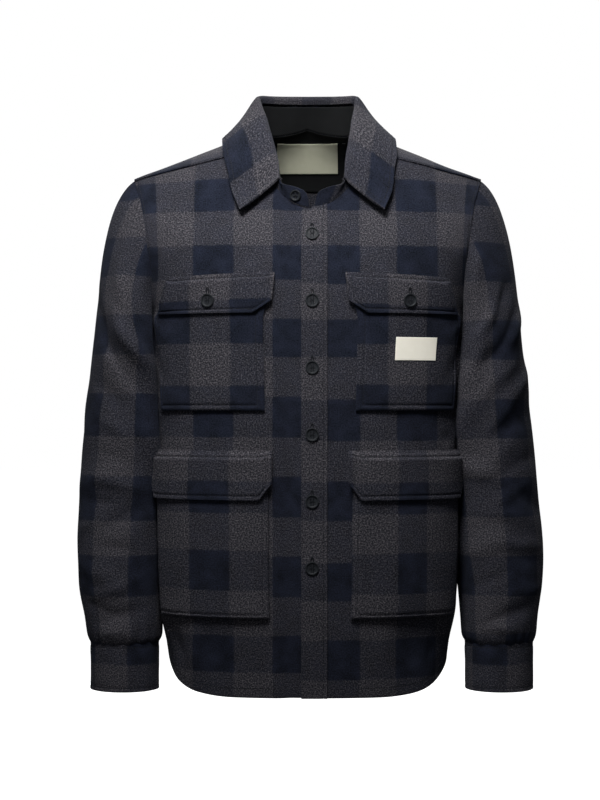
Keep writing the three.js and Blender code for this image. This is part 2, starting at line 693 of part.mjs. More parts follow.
function leafPoint(sidedTurn, part) {
  const side = sidedTurn < 0 ? -1 : 1;
  const turn = Math.abs(sidedTurn);
  const shift = frontCentre * ease(0.35, 0.8, turn);
  const seam = standCell(sidedTurn, 1);
  const foot = standCell(sidedTurn, 0.6);
  const up = seam.clone().sub(foot).normalize();
  const edge = new THREE.Vector3(side * readTurn(leafEdge, 'x', turn) + shift,
    readTurn(leafEdge, 'y', turn), readTurn(leafEdge, 'z', turn));
  const along = standCell(sidedTurn + 0.01, 1).sub(standCell(sidedTurn - 0.01, 1)).normalize();
  const out = along.clone().cross(up).normalize().negate();
  const rise = readTurn(leafEdge, 'rise', turn);
  const from = seam.clone().addScaledVector(out, -leafThickness * 0.8).addScaledVector(up, layerGap);
  const stops = [
    from,
    from.clone().addScaledVector(up, rise * 0.7),
    from.clone().addScaledVector(up, rise).addScaledVector(out, leafRoll * 0.45),
    from.clone().addScaledVector(up, rise * 0.62).addScaledVector(out, leafRoll),
    from.clone().addScaledVector(out, leafRoll).lerp(edge, 0.5).addScaledVector(out, leafRoll * 0.3),
    edge,
  ];
  return new THREE.CatmullRomCurve3(stops, false, 'centripetal').getPoint(part);
}

const leafTurns = evenStops(collarTurns, -leafEnd, leafEnd);
const leafPoints = makeGrid(leafStops, leafTurns, (part, turn) => leafPoint(turn, part));
addPiece('collar_leaf', clothWall(withNormals(leafPoints, false, 1), leafThickness), 'wool');

// Pockets
const bagStops = [0, 0.05, 0.14, 0.32, 0.5, 0.68, 0.86, 0.95, 1];
const bagRows = [0, 0.2, 0.45, 0.7, 0.88, 0.96, 1];
const flapRows = [0, 0.1, 0.2, 0.6, 1];

function pocketShift(side) {
  return side > 0 ? leftPocketShift : 0;
}

function pocketBag(side, pocket) {
  return clothWall(makeGrid(bagRows, bagStops, (down, part) => {
    const place = frontPlace(mix(pocket.bagTop, pocket.bagBottom, down));
    const across = mix(pocket.bagStart + pocketShift(side), pocket.bagEnd, part);
    const rim = ease(0, 0.05, part) * ease(1, 0.95, part) * ease(1, 0.96, down);
    return onBody(side, place, across, pocketGap + pocket.standOff * rim + bagThickness);
  }), bagThickness);
}

function flapCell(side, pocket, down, part, extra) {
  const start = pocket.flapStart + pocketShift(side);
  const wide = (pocket.flapEnd - start) * quarterGirth;
  const nearEdge = Math.min(part, 1 - part) * wide;
  const clip = pocket.clipHigh * (1 - Math.min(nearEdge / pocket.clipWide, 1));
  const place = frontPlace(mix(pocket.flapTop, pocket.flapBottom + clip, down));
  const across = mix(start, pocket.flapEnd, part);
  const over = pocketGap + (pocket.standOff + bagThickness + pocketGap) * ease(0, flapRamp, down);
  return onBody(side, place, across, over + flapThickness + extra);
}

function pocketFlap(side, pocket) {
  const wide = (pocket.flapEnd - pocket.flapStart) * quarterGirth;
  const clipPart = pocket.clipWide / wide;
  const stops = [0, clipPart, 0.25, 0.44, 0.6, 0.74, 0.84, 1 - clipPart, 1];
  return clothWall(makeGrid(flapRows, stops, (down, part) => flapCell(side, pocket, down, part, 0)), flapThickness);
}

for (const [name, pocket] of [['chest', chestPocket], ['hip', hipPocket]]) {
  for (const side of [-1, 1]) {
    const which = side > 0 ? 'left' : 'right';
    addPiece(`${name}_bag_${which}`, pocketBag(side, pocket), 'wool');
    addPiece(`${name}_flap_${which}`, pocketFlap(side, pocket), 'wool');
  }
}

// Buttons
function buttonShape(radius) {
  const profile = [
    new THREE.Vector2(0, 0),
    new THREE.Vector2(radius - 0.8, 0),
    new THREE.Vector2(radius, buttonHeight * 0.5),
    new THREE.Vector2(radius - 0.5, buttonHeight),
    new THREE.Vector2(radius - buttonRim, buttonHeight),
    new THREE.Vector2(radius - buttonRim - 0.7, buttonHeight - buttonDish),
    new THREE.Vector2(0, buttonHeight - buttonDish),
  ];
  return new THREE.LatheGeometry(profile, buttonSides);
}

function addButton(name, seat, radius, gap = buttonGap) {
  const mesh = addPiece(name, buttonShape(radius), 'button');
  mesh.position.copy(seat.point).addScaledVector(seat.normal, gap);
  mesh.quaternion.setFromUnitVectors(new THREE.Vector3(0, 1, 0), seat.normal);
}

for (let index = 0; index < frontButtons; index += 1) {
  const place = frontPlace(firstButton - index * buttonStep);
  const seat = onBody(1, place, acrossAt(place, frontCentre), layerGap + bandThickness);
  addButton(`button_${index + 1}`, seat, buttonRadius);
}

for (const side of [-1, 1]) {
  const which = side > 0 ? 'left' : 'right';
  addButton(`flap_button_${which}`, flapCell(side, chestPocket, 0.66, 0.46, 0), buttonRadius);
  addButton(`cuff_button_${which}`, cuffCell(side, 0.5, 1 - 0.25 * cuffLap), smallButtonRadius, cuffButtonGap);
}

const standButtonSeat = standGrid(0, 2)[1][Math.round((1 - 0.92 / standEnd) * collarTurns / 2)];
addButton('button_stand', standButtonSeat, smallButtonRadius);

// Labels and the neck tab, on the lining and on the left chest pocket
function neckCell(across, reach) {
  const place = mix(neckBackRow, backYokeRow, reach);
  return onBody(Math.sign(across) || 1, place, acrossAt(place, Math.abs(across)), liningLift - liningThickness - layerGap);
}

addPiece('neck_label', clothWall(makeGrid(evenStops(4, neckLabel.top, neckLabel.bottom),
  evenStops(6, -neckLabel.wide / 2, neckLabel.wide / 2), (reach, across) => neckCell(across, reach)),
labelThickness), 'label');

addPiece('neck_tab', clothWall(makeGrid(evenStops(2, 0.06, 0.3), evenStops(1, 51, 56),
  (reach, across) => neckCell(across, reach)), 1.2), 'lining');

addPiece('chest_label', clothWall(makeGrid(evenStops(2), evenStops(4), (down, part) => {
  const place = frontPlace(mix(chestLabel.top, chestLabel.bottom, down));
  const across = mix(chestLabel.start, chestLabel.end, part);
  const lift = pocketGap + chestPocket.standOff + bagThickness + layerGap / 2 + labelThickness;
  return onBody(1, place, across, lift);
}), labelThickness), 'label');

export default jacket;
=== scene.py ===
import math
import bpy
import numpy as np
from mathutils import Matrix, Vector


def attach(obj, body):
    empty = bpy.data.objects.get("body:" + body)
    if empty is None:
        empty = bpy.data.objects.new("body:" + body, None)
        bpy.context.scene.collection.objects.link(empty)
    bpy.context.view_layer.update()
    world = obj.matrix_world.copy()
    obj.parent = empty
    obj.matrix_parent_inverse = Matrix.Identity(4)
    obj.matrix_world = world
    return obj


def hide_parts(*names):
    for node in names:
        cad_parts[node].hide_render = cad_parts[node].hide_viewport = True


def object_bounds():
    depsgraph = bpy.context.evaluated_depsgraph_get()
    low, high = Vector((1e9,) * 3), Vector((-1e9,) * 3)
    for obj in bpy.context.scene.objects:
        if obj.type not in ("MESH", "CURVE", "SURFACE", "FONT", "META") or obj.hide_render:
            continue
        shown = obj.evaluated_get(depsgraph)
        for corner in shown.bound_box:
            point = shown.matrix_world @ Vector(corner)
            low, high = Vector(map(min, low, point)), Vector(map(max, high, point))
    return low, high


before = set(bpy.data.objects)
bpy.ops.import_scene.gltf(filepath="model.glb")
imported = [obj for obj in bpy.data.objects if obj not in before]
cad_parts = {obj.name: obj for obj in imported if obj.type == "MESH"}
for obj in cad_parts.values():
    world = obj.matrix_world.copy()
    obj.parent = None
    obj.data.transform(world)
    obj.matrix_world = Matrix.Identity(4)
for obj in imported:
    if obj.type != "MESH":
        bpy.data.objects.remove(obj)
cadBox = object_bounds()
bpy.ops.object.select_all(action="DESELECT")
print("frame loaded")

# Lengths are in millimetres until a mesh is written, in the frame of the solids.
# Side -1 is the wearer's right and side 1 the wearer's left, and the front faces -Y.
millimetre = 0.001
layers = {
    "wool": 2.2, "lining": 0.8, "stand": 1.6, "facing": 1.0, "leaf": 3.0, "band": 1.8,
    "bag": 2.4, "flap": 3.0, "cuff": 3.2, "label": 0.6,
    "gap": 0.9, "liningGap": 1.05, "pocketGap": 1.2, "armClearance": 2.2,
}

# The body's sections: up the front, over the shoulder ridge at 14, and down the back
bodySections = {
    "z": [-722, -665, -610, -550, -460, -370, -290, -218, -188, -145, -105, -62, -18, 41, 85,
          66, 4, -50, -100, -145, -188, -218, -290, -370, -460, -550, -610, -665, -728],
    "y": [-113, -117, -122, -125, -128, -131, -133, -133, -132, -127, -117, -98, -76, -46, 16,
          57, 99, 119, 129, 133, 134, 134, 131, 125, 119, 116, 115, 114, 113],
    "half": [190, 195, 206, 210, 212, 214, 219, 225, 219.5, 216, 218, 222, 229, 240, 242,
             240, 232, 224, 218, 216, 219.5, 225, 219, 214, 212, 210, 206, 195, 190],
    "edgeY": [0, 0, 0, 0, 0, 0, 0, 0, -42, -68, -79, -74, -52, -16, 4,
              28, 66, 84, 90, 82, 48, 0, 0, 0, 0, 0, 0, 0, 0],
    "drop": [0, 0, 0, 0, 0, 0, 0, 0, 4, 8, 14, 24, 34, 59, 100,
             88, 50, 36, 20, 8, 4, 0, 0, 0, 0, 0, 0, 0, 0],
    "bend": [2, 2, 2, 2, 2, 2, 2, 2, 2, 2, 1.8, 1.6, 1.4, 1, 1,
             1, 1.5, 1.6, 1.8, 2, 2, 2, 2, 2, 2, 2, 2, 2, 2],
    "arc": [90, 90, 90, 90, 90, 90, 90, 90, 80, 70, 62, 58, 56, 52, 50,
            52, 56, 58, 62, 70, 80, 90, 90, 90, 90, 90, 90, 90, 90],
}
sectionRoundness = 0.8
frontArmpitRow, neckFrontRow, frontYokeRow, ridgeRow = 7, 11, 13, 14
neckBackRow, backYokeRow, backArmpitRow, backHemRow = 15, 16, 21, 28
quarterGirth = 262
sleeveGirth = 400


def gentlest(one, other):
    total = one + other
    return np.where(one * other <= 0, 0, 2 * one * other / np.where(total == 0, 1, total))


def readTable(values, place):
    values = np.asarray(values, float)
    place = np.clip(np.asarray(place, float), 0, len(values) - 1)
    index = np.minimum(place.astype(int), len(values) - 2)
    steps = np.diff(values)
    here = steps[index]
    before = steps[np.maximum(index - 1, 0)]
    after = steps[np.minimum(index + 1, len(steps) - 1)]
    startSlope = np.where(index == 0, here, gentlest(before, here))
    endSlope = np.where(index == len(steps) - 1, here, gentlest(here, after))
    part = place - index
    rest = 1 - part
    return (values[index] * (1 + 2 * part) * rest ** 2 + startSlope * part * rest ** 2
            + values[index + 1] * part ** 2 * (3 - 2 * part) - endSlope * part ** 2 * rest)


def readTurn(table, column, turn):
    place = np.interp(turn, table["turn"], np.arange(len(table["turn"])))
    return readTable(table[column], place)


def mix(start, end, part):
    return start + (end - start) * part


def asColumn(values):
    return np.expand_dims(values, -1)


def stacked(*parts):
    return np.stack(np.broadcast_arrays(*parts), axis=-1)


def ease(start, end, value):
    part = np.clip((value - start) / (end - start), 0, 1)
    return part * part * (3 - 2 * part)


def signedPower(value, power):
    return np.sign(value) * np.abs(value) ** power


def unit(vectors):
    return vectors / np.maximum(np.linalg.norm(vectors, axis=-1, keepdims=True), 1e-9)


# Even, soft unevenness of cloth: random heights every so many millimetres, joined smoothly
def clothNoise(u, v, size, seed):
    heights = np.random.default_rng(seed).uniform(-1, 1, (64, 64))
    column, row = u / size, v / size
    i, j = np.floor(column).astype(int), np.floor(row).astype(int)
    a, b = column - i, row - j
    a, b = a * a * (3 - 2 * a), b * b * (3 - 2 * b)
    i, j = i % 64, j % 64
    nextI, nextJ = (i + 1) % 64, (j + 1) % 64
    return mix(mix(heights[i, j], heights[nextI, j], a), mix(heights[i, nextJ], heights[nextI, nextJ], a), b)


# A ridge, or below zero a trough: how far round, how high, lean from level, length, width, depth
def foldHeight(fold, around, along):
    foldAround, foldAlong, tilt, length, width, depth = fold
    lean = math.radians(tilt)
    across, height = around - foldAround, along - foldAlong
    run = across * math.cos(lean) + height * math.sin(lean)
    off = height * math.cos(lean) - across * math.sin(lean)
    reach = np.minimum(np.abs(run) / length, 1)
    return depth * np.exp(-((off / width) ** 2)) * (1 - reach * reach) ** 2


def section(name, place):
    return readTable(bodySections[name], place)


def bodyBase(side, place, across):
    read = {name: section(name, place) for name in bodySections}
    arc = np.radians(read["arc"])
    angle = across * arc
    spread = signedPower(np.sin(angle), sectionRoundness) / signedPower(np.sin(arc), sectionRoundness)
    rim = signedPower(np.cos(arc), sectionRoundness)
    crown = (signedPower(np.cos(angle), sectionRoundness) - rim) / (1 - rim)
    return stacked(side * read["half"] * spread, mix(read["edgeY"], read["y"], crown),
                   read["z"] - read["drop"] * np.abs(spread) ** read["bend"])


def acrossAt(place, lateral):
    arc = np.radians(section("arc", place))
    spread = lateral / section("half", place)
    sine = signedPower(spread * signedPower(np.sin(arc), sectionRoundness), 1 / sectionRoundness)
    return np.arcsin(np.clip(sine, -1, 1)) / arc


fineSteps = 2801
frontPlaces = np.linspace(0, ridgeRow, fineSteps)
backPlaces = np.linspace(backHemRow, ridgeRow, fineSteps)


def frontPlace(height):
    return np.interp(height, section("z", frontPlaces), frontPlaces)


def backPlace(height):
    return np.interp(height, section("z", backPlaces), backPlaces)


def bodyNormal(side, place, across):
    up = bodyBase(side, place + 0.02, across) - bodyBase(side, place - 0.02, across)
    out = bodyBase(side, place, across + 0.01) - bodyBase(side, place, across - 0.01)
    return unit(np.cross(out, up) * asColumn(side * np.ones(np.shape(place))))


# Long folds first, as in the solids, then the small creases that only the cloth has
bodyFolds = {
    (-1, "front"): [(196, -250, 62, 90, 16, -4), (222, -330, 84, 120, 18, -4), (140, -668, 98, 80, 22, 3),
                    (178, -218, 48, 46, 7, 1.6), (203, -292, 70, 60, 8, -1.8), (196, -372, 12, 40, 8, 1.4),
                    (60, -128, -40, 60, 13, -1.6), (92, -96, -62, 60, 12, 1.5), (182, -372, -24, 34, 8, -1.5),
                    (206, -640, 66, 52, 9, 1.6), (52, -360, 84, 120, 15, 1.2), (36, -520, 93, 120, 12, -1.2),
                    (96, -668, 82, 60, 13, -1.6), (172, -660, 70, 44, 12, -1.8),
                    (150, -60, -18, 54, 12, -1.5), (13, -480, 90, 330, 7, -2.6),
                    (19, -250, 88, 150, 8, -2), (28, -640, 80, 90, 10, -1.6)],
    (1, "front"): [(190, -252, 60, 80, 16, -4), (224, -380, 82, 130, 18, -4), (118, -660, 80, 90, 24, -3),
                   (182, -214, 46, 50, 7, 1.7), (206, -300, 66, 60, 9, -1.9), (194, -366, -14, 44, 8, 1.5),
                   (70, -118, -44, 62, 13, -1.8), (104, -90, -66, 56, 12, 1.5), (176, -370, 22, 34, 8, -1.5),
                   (204, -636, 70, 56, 9, 1.7), (60, -372, 92, 110, 14, 1.2), (50, -560, 86, 130, 13, -1.3),
                   (76, -664, 96, 60, 12, 1.7), (160, -664, 74, 44, 12, -1.9), (150, -64, -16, 56, 12, -1.6)],
    (-1, "back"): [(180, -205, 55, 110, 18, -5), (128, -330, 66, 150, 24, 4), (86, -470, 80, 190, 26, -5),
                   (160, -590, 86, 160, 24, 4), (150, -120, 40, 70, 12, -2), (200, -300, 72, 70, 11, 2.4),
                   (110, -220, 58, 90, 13, -2.2), (60, -600, 96, 90, 14, 2), (190, -470, 84, 90, 13, -2.2),
                   (120, -680, 92, 60, 13, -2), (40, -60, -30, 60, 14, -1.6)],
    (1, "back"): [(186, -212, 58, 100, 18, -5), (118, -300, 70, 130, 22, 4), (70, -430, 84, 200, 28, -4),
                  (150, -560, 82, 180, 24, -4), (34, -620, 90, 150, 26, 4), (156, -128, 38, 66, 12, -2),
                  (204, -316, 76, 66, 11, 2.4), (96, -196, 62, 80, 12, -2), (186, -500, 88, 80, 13, 2.2),
                  (98, -660, 84, 64, 13, -2), (60, -70, -24, 56, 13, 1.6)],
}


def onBody(side, place, across, lift):
    side, place, across = np.broadcast_arrays(np.asarray(side, float), place, across)
    normal = bodyNormal(side, place, across)
    point = bodyBase(side, place, across)
    height = section("z", place)
    around = across * quarterGirth
    fold = np.zeros(np.shape(place))
    for (foldSide, face), rows in bodyFolds.items():
        here = (np.sign(side) == foldSide) & ((place < ridgeRow) == (face == "front"))
        for row in rows:
            fold = fold + np.where(here, foldHeight(row, around, height), 0)
    reach = side * around
    below = ease(60, -40, height)
    ripple = 0.75 * clothNoise(reach, height * 0.8, 46, 3) + 0.4 * clothNoise(reach, height, 21, 4) * below
    fold = fold * ease(1, 0.96, across) + ripple * ease(1, 0.97, across)
    return point + normal * asColumn(lift + fold), normal


def necklineAt(side, turn):
    angle = math.pi * (1 - np.asarray(turn, float))
    reach = np.where(np.cos(angle) > 0, ridgeRow - neckFrontRow, neckBackRow - ridgeRow)
    place = ridgeRow - reach * np.cos(angle)
    lateral = neckline["half"] * np.sin(angle) + side * neckline["frontCentre"] * ease(0.35, 0.8, turn)
    return place, acrossAt(place, lateral)


neckline = {"half": 74, "frontCentre": 5.6}
yokeTurn = 1 - math.acos((ridgeRow - frontYokeRow) / (ridgeRow - neckFrontRow)) / math.pi

# Its bands are 53 mm wide, and a grey one starts at 0.
bandWidth = 53


def bandPlace(value, edges, startsGrey):
    count = len(edges)
    ends = [edges[0] - 20 * bandWidth, *edges, edges[-1] + 20 * bandWidth]
    marks = [-20 * bandWidth, *[bandWidth * i for i in range(count)], bandWidth * (count + 19)]
    return np.interp(value, ends, marks) + (0 if startsGrey else bandWidth)


# Height along the cloth: plain height below the chest, and over the slopes the length of the cloth
profileAcross = 0.45
profilePlaces = np.linspace(0, backHemRow, fineSteps)
profile = bodyBase(1, profilePlaces, np.full(fineSteps, profileAcross))
profileLength = np.concatenate([[0], np.cumsum(np.linalg.norm(np.diff(profile, axis=0), axis=1))])
chestPlace = 9
chestLength = np.interp(chestPlace, profilePlaces, profileLength)


def clothHeight(place):
    height = section("z", place)
    over = np.interp(place, profilePlaces, profileLength) - chestLength + bodySections["z"][chestPlace]
    return np.where(place < chestPlace, height, over)


# The check hangs level down the fronts and the back, and follows the shoulder over its top
def levelShift(place, across):
    middle = bodyBase(1, place, np.full(np.shape(across), profileAcross))
    drop = bodyBase(1, place, across)[..., 2] - middle[..., 2]
    ahead = ease(ridgeRow - 0.4, frontYokeRow, place)
    return drop * np.maximum(ahead, ease(ridgeRow + 0.4, backYokeRow, place))


def clothAcross(place, across):
    return bodyBase(1, place, across)[..., 0] + 34 * ease(0.78, 1.05, across)


def editMesh(selection):
    bpy.ops.object.mode_set(mode="EDIT")
    bpy.ops.mesh.select_all(action=selection)


# A grid becomes a cloth piece: its vertices go where the shape says, and its UV map holds the cloth's own
# millimetres, so the check runs with the weave. The thickness goes inwards from the outer face.
def makeCloth(name, columns, rows, shape, thickness, edge=0.5, closed=False):
    bpy.ops.object.select_all(action="DESELECT")
    bpy.ops.mesh.primitive_grid_add(x_subdivisions=columns, y_subdivisions=rows, size=2)
    piece = bpy.context.active_object
    piece.name = piece.data.name = name
    mesh = piece.data
    spots = np.empty(len(mesh.vertices) * 3)
    mesh.vertices.foreach_get("co", spots)
    part, up = (spots.reshape(-1, 3)[:, :2].T + 1) / 2
    points, normals, cloth = shape(part, up)
    mesh.vertices.foreach_set("co", (points * millimetre).ravel())
    mesh.update()
    facing = np.empty(len(mesh.polygons) * 3)
    mesh.polygons.foreach_get("normal", facing)
    firsts = np.array([face.vertices[0] for face in mesh.polygons])
    if (facing.reshape(-1, 3) * normals[firsts]).sum() < 0:
        mesh.flip_normals()
    corners = np.empty(len(mesh.loops), int)
    mesh.loops.foreach_get("vertex_index", corners)
    mesh.uv_layers.active.name = "cloth"
    mesh.uv_layers.active.data.foreach_set("uv", (cloth[corners] * millimetre).ravel())
    if closed:
        editMesh("SELECT")
        bpy.ops.mesh.remove_doubles(threshold=0.00001)
        bpy.ops.object.mode_set(mode="OBJECT")
    thicken = piece.modifiers.new("thickness", "SOLIDIFY")
    thicken.thickness = thickness * millimetre
    thicken.offset = -1
    thicken.use_quality_normals = True
    soften = piece.modifiers.new("soft edge", "BEVEL")
    soften.width = edge * millimetre
    soften.segments = 2
    soften.limit_method = "ANGLE"
    soften.angle_limit = math.radians(55)
    for modifier in (thicken, soften):
        bpy.ops.object.modifier_apply(modifier=modifier.name)
    bpy.ops.object.shade_smooth_by_angle(angle=math.radians(50))
    return piece


def dress(piece, material, slotName, *nodes):
    piece.data.materials.clear()
    piece.data.materials.append(material)
    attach(piece, "root")
    if nodes:
        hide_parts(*nodes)


def sewWool(node, grid, shape, layer, edge, closed=False):
    piece = makeCloth(node + "_cloth", *grid, shape, layers[layer], edge, closed)
    dress(piece, wool, "checked_wool", node)


def sewLining(node, grid, shape, layer):
    piece = makeCloth(node + "_cloth", *grid, shape, layers[layer], 0.3)
    dress(piece, lining, "black_lining", node)


# Normals of a surface that has no formula of its own
def surfaceNormal(surface, part, up, sign):
    step = 0.004
    level = surface(part + step, up) - surface(part - step, up)
    rise = surface(part, np.minimum(up + step, 1)) - surface(part, np.maximum(up - step, 0))
    return unit(np.cross(level, rise)) * sign


# Materials


def linear(hexColour):
    channels = [int(hexColour[i:i + 2], 16) / 255 for i in (1, 3, 5)]
    return [c / 12.92 if c <= 0.04045 else ((c + 0.055) / 1.055) ** 2.4 for c in channels] + [1]


def addNode(tree, kind, settings):
    node = tree.nodes.new(kind)
    for name, value in settings.items():
        if isinstance(name, str) and hasattr(node, name):
            setattr(node, name, value)
        elif isinstance(value, bpy.types.NodeSocket):
            tree.links.new(value, node.inputs[name])
        else:
            node.inputs[name].default_value = value
    return node


def addNoise(tree, vector, size, detail, settings):
    return addNode(tree, "ShaderNodeTexNoise", {
        "Vector": vector, "Scale": 1000 / size, "Detail": detail, **settings}).outputs


def addMath(tree, operation, *values, clamp=False):
    settings = {"operation": operation, "use_clamp": clamp, **dict(enumerate(values))}
    return addNode(tree, "ShaderNodeMath", settings).outputs[0]


def mixColours(tree, share, deep, pale):
    settings = {"data_type": "RGBA", 0: share, 6: deep, 7: pale}
    return addNode(tree, "ShaderNodeMix", settings).outputs[2]


def addBump(tree, height, rise, strength):
    return addNode(tree, "ShaderNodeBump", {
        "Height": height, "Distance": rise * millimetre, "Strength": strength}).outputs[0]


# Ribs so many millimetres apart: at a scale of 1 a wave repeats 3.18 times in a metre
def addRibs(tree, vector, direction, spacing, settings):
    return addNode(tree, "ShaderNodeTexWave", {
        "Vector": vector, "bands_direction": direction, "Scale": 1000 / spacing / 3.18,
        **settings}).outputs[0]


def clothPlace(tree):
    return addNode(tree, "ShaderNodeUVMap", {"uv_map": "cloth"}).outputs["UV"]


def startMaterial(name):
    material = bpy.data.materials.new(name)
    material.use_nodes = True
    material.node_tree.nodes.clear()
    return material, material.node_tree


def finishMaterial(tree, settings):
    shader = addNode(tree, "ShaderNodeBsdfPrincipled", settings)
    addNode(tree, "ShaderNodeOutputMaterial", {"Surface": shader.outputs["BSDF"]})


# Melton wool, woven in two yarns and brushed: a matt nap hides the weave, and the grey yarn is heathered.
# Where navy crosses navy it is plain navy, and where the yarns cross, their fibres mix in fine flecks.
woolLook = {
    "navyDeep": "#04060b", "navyPale": "#1e2230",
    "greyDeep": "#101013", "greyMiddle": "#2c2b30", "greyPale": "#666366",
    "fleckSize": 1.4, "fibreSize": 1.9, "mottleSize": 22, "edgeSoftness": 0.11, "edgeWander": 2.4,
    "napHeight": 0.55, "roughness": 0.94, "sheenTint": "#9aa3b8",
}


def makeWool():
    material, tree = startMaterial("brushed melton wool, two-yarn check")
    cloth = clothPlace(tree)
    wander = addNoise(tree, cloth, 3.2, 2.0, {"Roughness": 0.6})
    shift = addNode(tree, "ShaderNodeVectorMath", {
        "operation": "MULTIPLY_ADD", 0: wander["Color"],
        1: [woolLook["edgeWander"] * millimetre] * 3, 2: cloth})
    axes = addNode(tree, "ShaderNodeSeparateXYZ", {0: shift.outputs[0]})
    bands = []
    for axis in ("X", "Y"):
        turn = addMath(tree, "MULTIPLY", axes.outputs[axis], math.pi / (bandWidth * millimetre))
        bands.append(addNode(tree, "ShaderNodeMapRange", {
            "interpolation_type": "SMOOTHSTEP", "Value": addMath(tree, "SINE", turn),
            "From Min": -woolLook["edgeSoftness"], "From Max": woolLook["edgeSoftness"]}).outputs[0])
    halfShare = addMath(tree, "MULTIPLY", addMath(tree, "ADD", *bands), 0.5)
    fleck = addNoise(tree, cloth, woolLook["fleckSize"], 3.0, {"Roughness": 0.7})[0]
    fibre = addNoise(tree, cloth, woolLook["fibreSize"], 3.0, {"Roughness": 0.75})[0]
    mottle = addNoise(tree, cloth, woolLook["mottleSize"], 2.0, {"Roughness": 0.55})[0]
    speckle = addMath(tree, "ADD", addMath(tree, "MULTIPLY_ADD", fleck, 2.2, -1.1), halfShare)
    keep = addMath(tree, "MULTIPLY", halfShare, 2.0, clamp=True)
    mixture = addMath(tree, "MULTIPLY", speckle, keep, clamp=True)
    uneven = addMath(tree, "MULTIPLY_ADD", mottle, 0.4, fibre)
    depth = addMath(tree, "MULTIPLY_ADD", uneven, 2.8, -1.46, clamp=True)
    navy = mixColours(tree, depth, linear(woolLook["navyDeep"]), linear(woolLook["navyPale"]))
    grey = addNode(tree, "ShaderNodeValToRGB", {0: fibre})
    grey.color_ramp.elements[0].position = 0.34
    grey.color_ramp.elements[0].color = linear(woolLook["greyDeep"])
    grey.color_ramp.elements[1].position = 0.68
    grey.color_ramp.elements[1].color = linear(woolLook["greyPale"])
    grey.color_ramp.elements.new(0.5).color = linear(woolLook["greyMiddle"])
    colour = mixColours(tree, mixture, navy, grey.outputs[0])
    nap = addBump(tree, addMath(tree, "ADD", fleck, fibre), woolLook["napHeight"], 0.7)
    finishMaterial(tree, {
        "Base Color": colour, "Roughness": woolLook["roughness"], "Specular IOR Level": 0.12,
        "Sheen Weight": 0.03, "Sheen Roughness": 0.6, "Sheen Tint": linear(woolLook["sheenTint"]),
        "Normal": nap})
    return material


# Black cotton twill of the lining: fine diagonal ribs, a faint sheen at the edges
liningLook = {"deep": "#08090a", "pale": "#101112", "ribSpacing": 1.6, "wearSize": 18, "roughness": 0.72}


def makeLining():
    material, tree = startMaterial("black cotton twill")
    cloth = clothPlace(tree)
    settings = {"Distortion": 0.6, "Detail Scale": 2.0}
    ribs = addRibs(tree, cloth, "DIAGONAL", liningLook["ribSpacing"], settings)
    wear = addNoise(tree, cloth, liningLook["wearSize"], 3.0, {})[0]
    finishMaterial(tree, {
        "Base Color": mixColours(tree, wear, linear(liningLook["deep"]), linear(liningLook["pale"])),
        "Roughness": liningLook["roughness"], "Specular IOR Level": 0.12, "Sheen Weight": 0.02,
        "Normal": addBump(tree, ribs, 0.2, 0.5)})
    return material


# Polyester resin of the buttons, moulded and tumbled: dark slate, half matt, with faint streaks
buttonLook = {"deep": "#0b0d10", "pale": "#1b1f24", "streak": 3.0, "scuff": 0.8, "roughness": 0.6}


def makeResin():
    material, tree = startMaterial("tumbled polyester resin")
    spot = addNode(tree, "ShaderNodeTexCoord", {}).outputs["Object"]
    streak = addNoise(tree, spot, buttonLook["streak"], 3.0, {"Distortion": 1.5})[0]
    scuff = addNoise(tree, spot, buttonLook["scuff"], 2.0, {})[0]
    gloss = addNode(tree, "ShaderNodeMapRange", {
        "Value": scuff, "To Min": buttonLook["roughness"] - 0.06,
        "To Max": buttonLook["roughness"] + 0.14}).outputs[0]
    finishMaterial(tree, {
        "Base Color": mixColours(tree, streak, linear(buttonLook["deep"]), linear(buttonLook["pale"])),
        "Roughness": gloss, "IOR": 1.54, "Specular IOR Level": 0.22})
    return material


# Core-spun polyester thread: two plies, a soft shine
threadLook = {"deep": "#05060a", "pale": "#10131a", "twist": 0.9}


def makeThread():
    material, tree = startMaterial("navy core-spun thread")
    spot = addNode(tree, "ShaderNodeTexCoord", {}).outputs["Object"]
    plies = addRibs(tree, spot, "DIAGONAL", threadLook["twist"], {"Distortion": 1.0})
    finishMaterial(tree, {
        "Base Color": mixColours(tree, plies, linear(threadLook["deep"]), linear(threadLook["pale"])),
        "Roughness": 0.75, "Specular IOR Level": 0.2})
    return material


# Damask label tape: close-woven, flat and bare, with the faint cross ribs of its weft
labelLook = {
    "neck label tape": {"deep": "#a9a995", "pale": "#bdbca8"},
    "chest label tape": {"deep": "#e4dfd0", "pale": "#f2efe4"},
    "rib": 0.9, "stainSize": 9,
}


def makeTape(name):
    material, tree = startMaterial(name)
    cloth = clothPlace(tree)
    ribs = addRibs(tree, cloth, "Y", labelLook["rib"], {"Distortion": 0.8})
    stain = addNoise(tree, cloth, labelLook["stainSize"], 3.0, {})[0]
    shade = addMath(tree, "MULTIPLY", ribs, stain)
    finishMaterial(tree, {
        "Base Color": mixColours(tree, shade, *(linear(labelLook[name][tone]) for tone in ("deep", "pale"))),
        "Roughness": 0.75, "Specular IOR Level": 0.3, "Normal": addBump(tree, ribs, 0.15, 0.5)})
    return material


wool = makeWool()
lining = makeLining()
resin = makeResin()
thread = makeThread()
neckTape = makeTape("neck label tape")
chestTape = makeTape("chest label tape")
sideNames = {-1: "right", 1: "left"}
print("materials made")

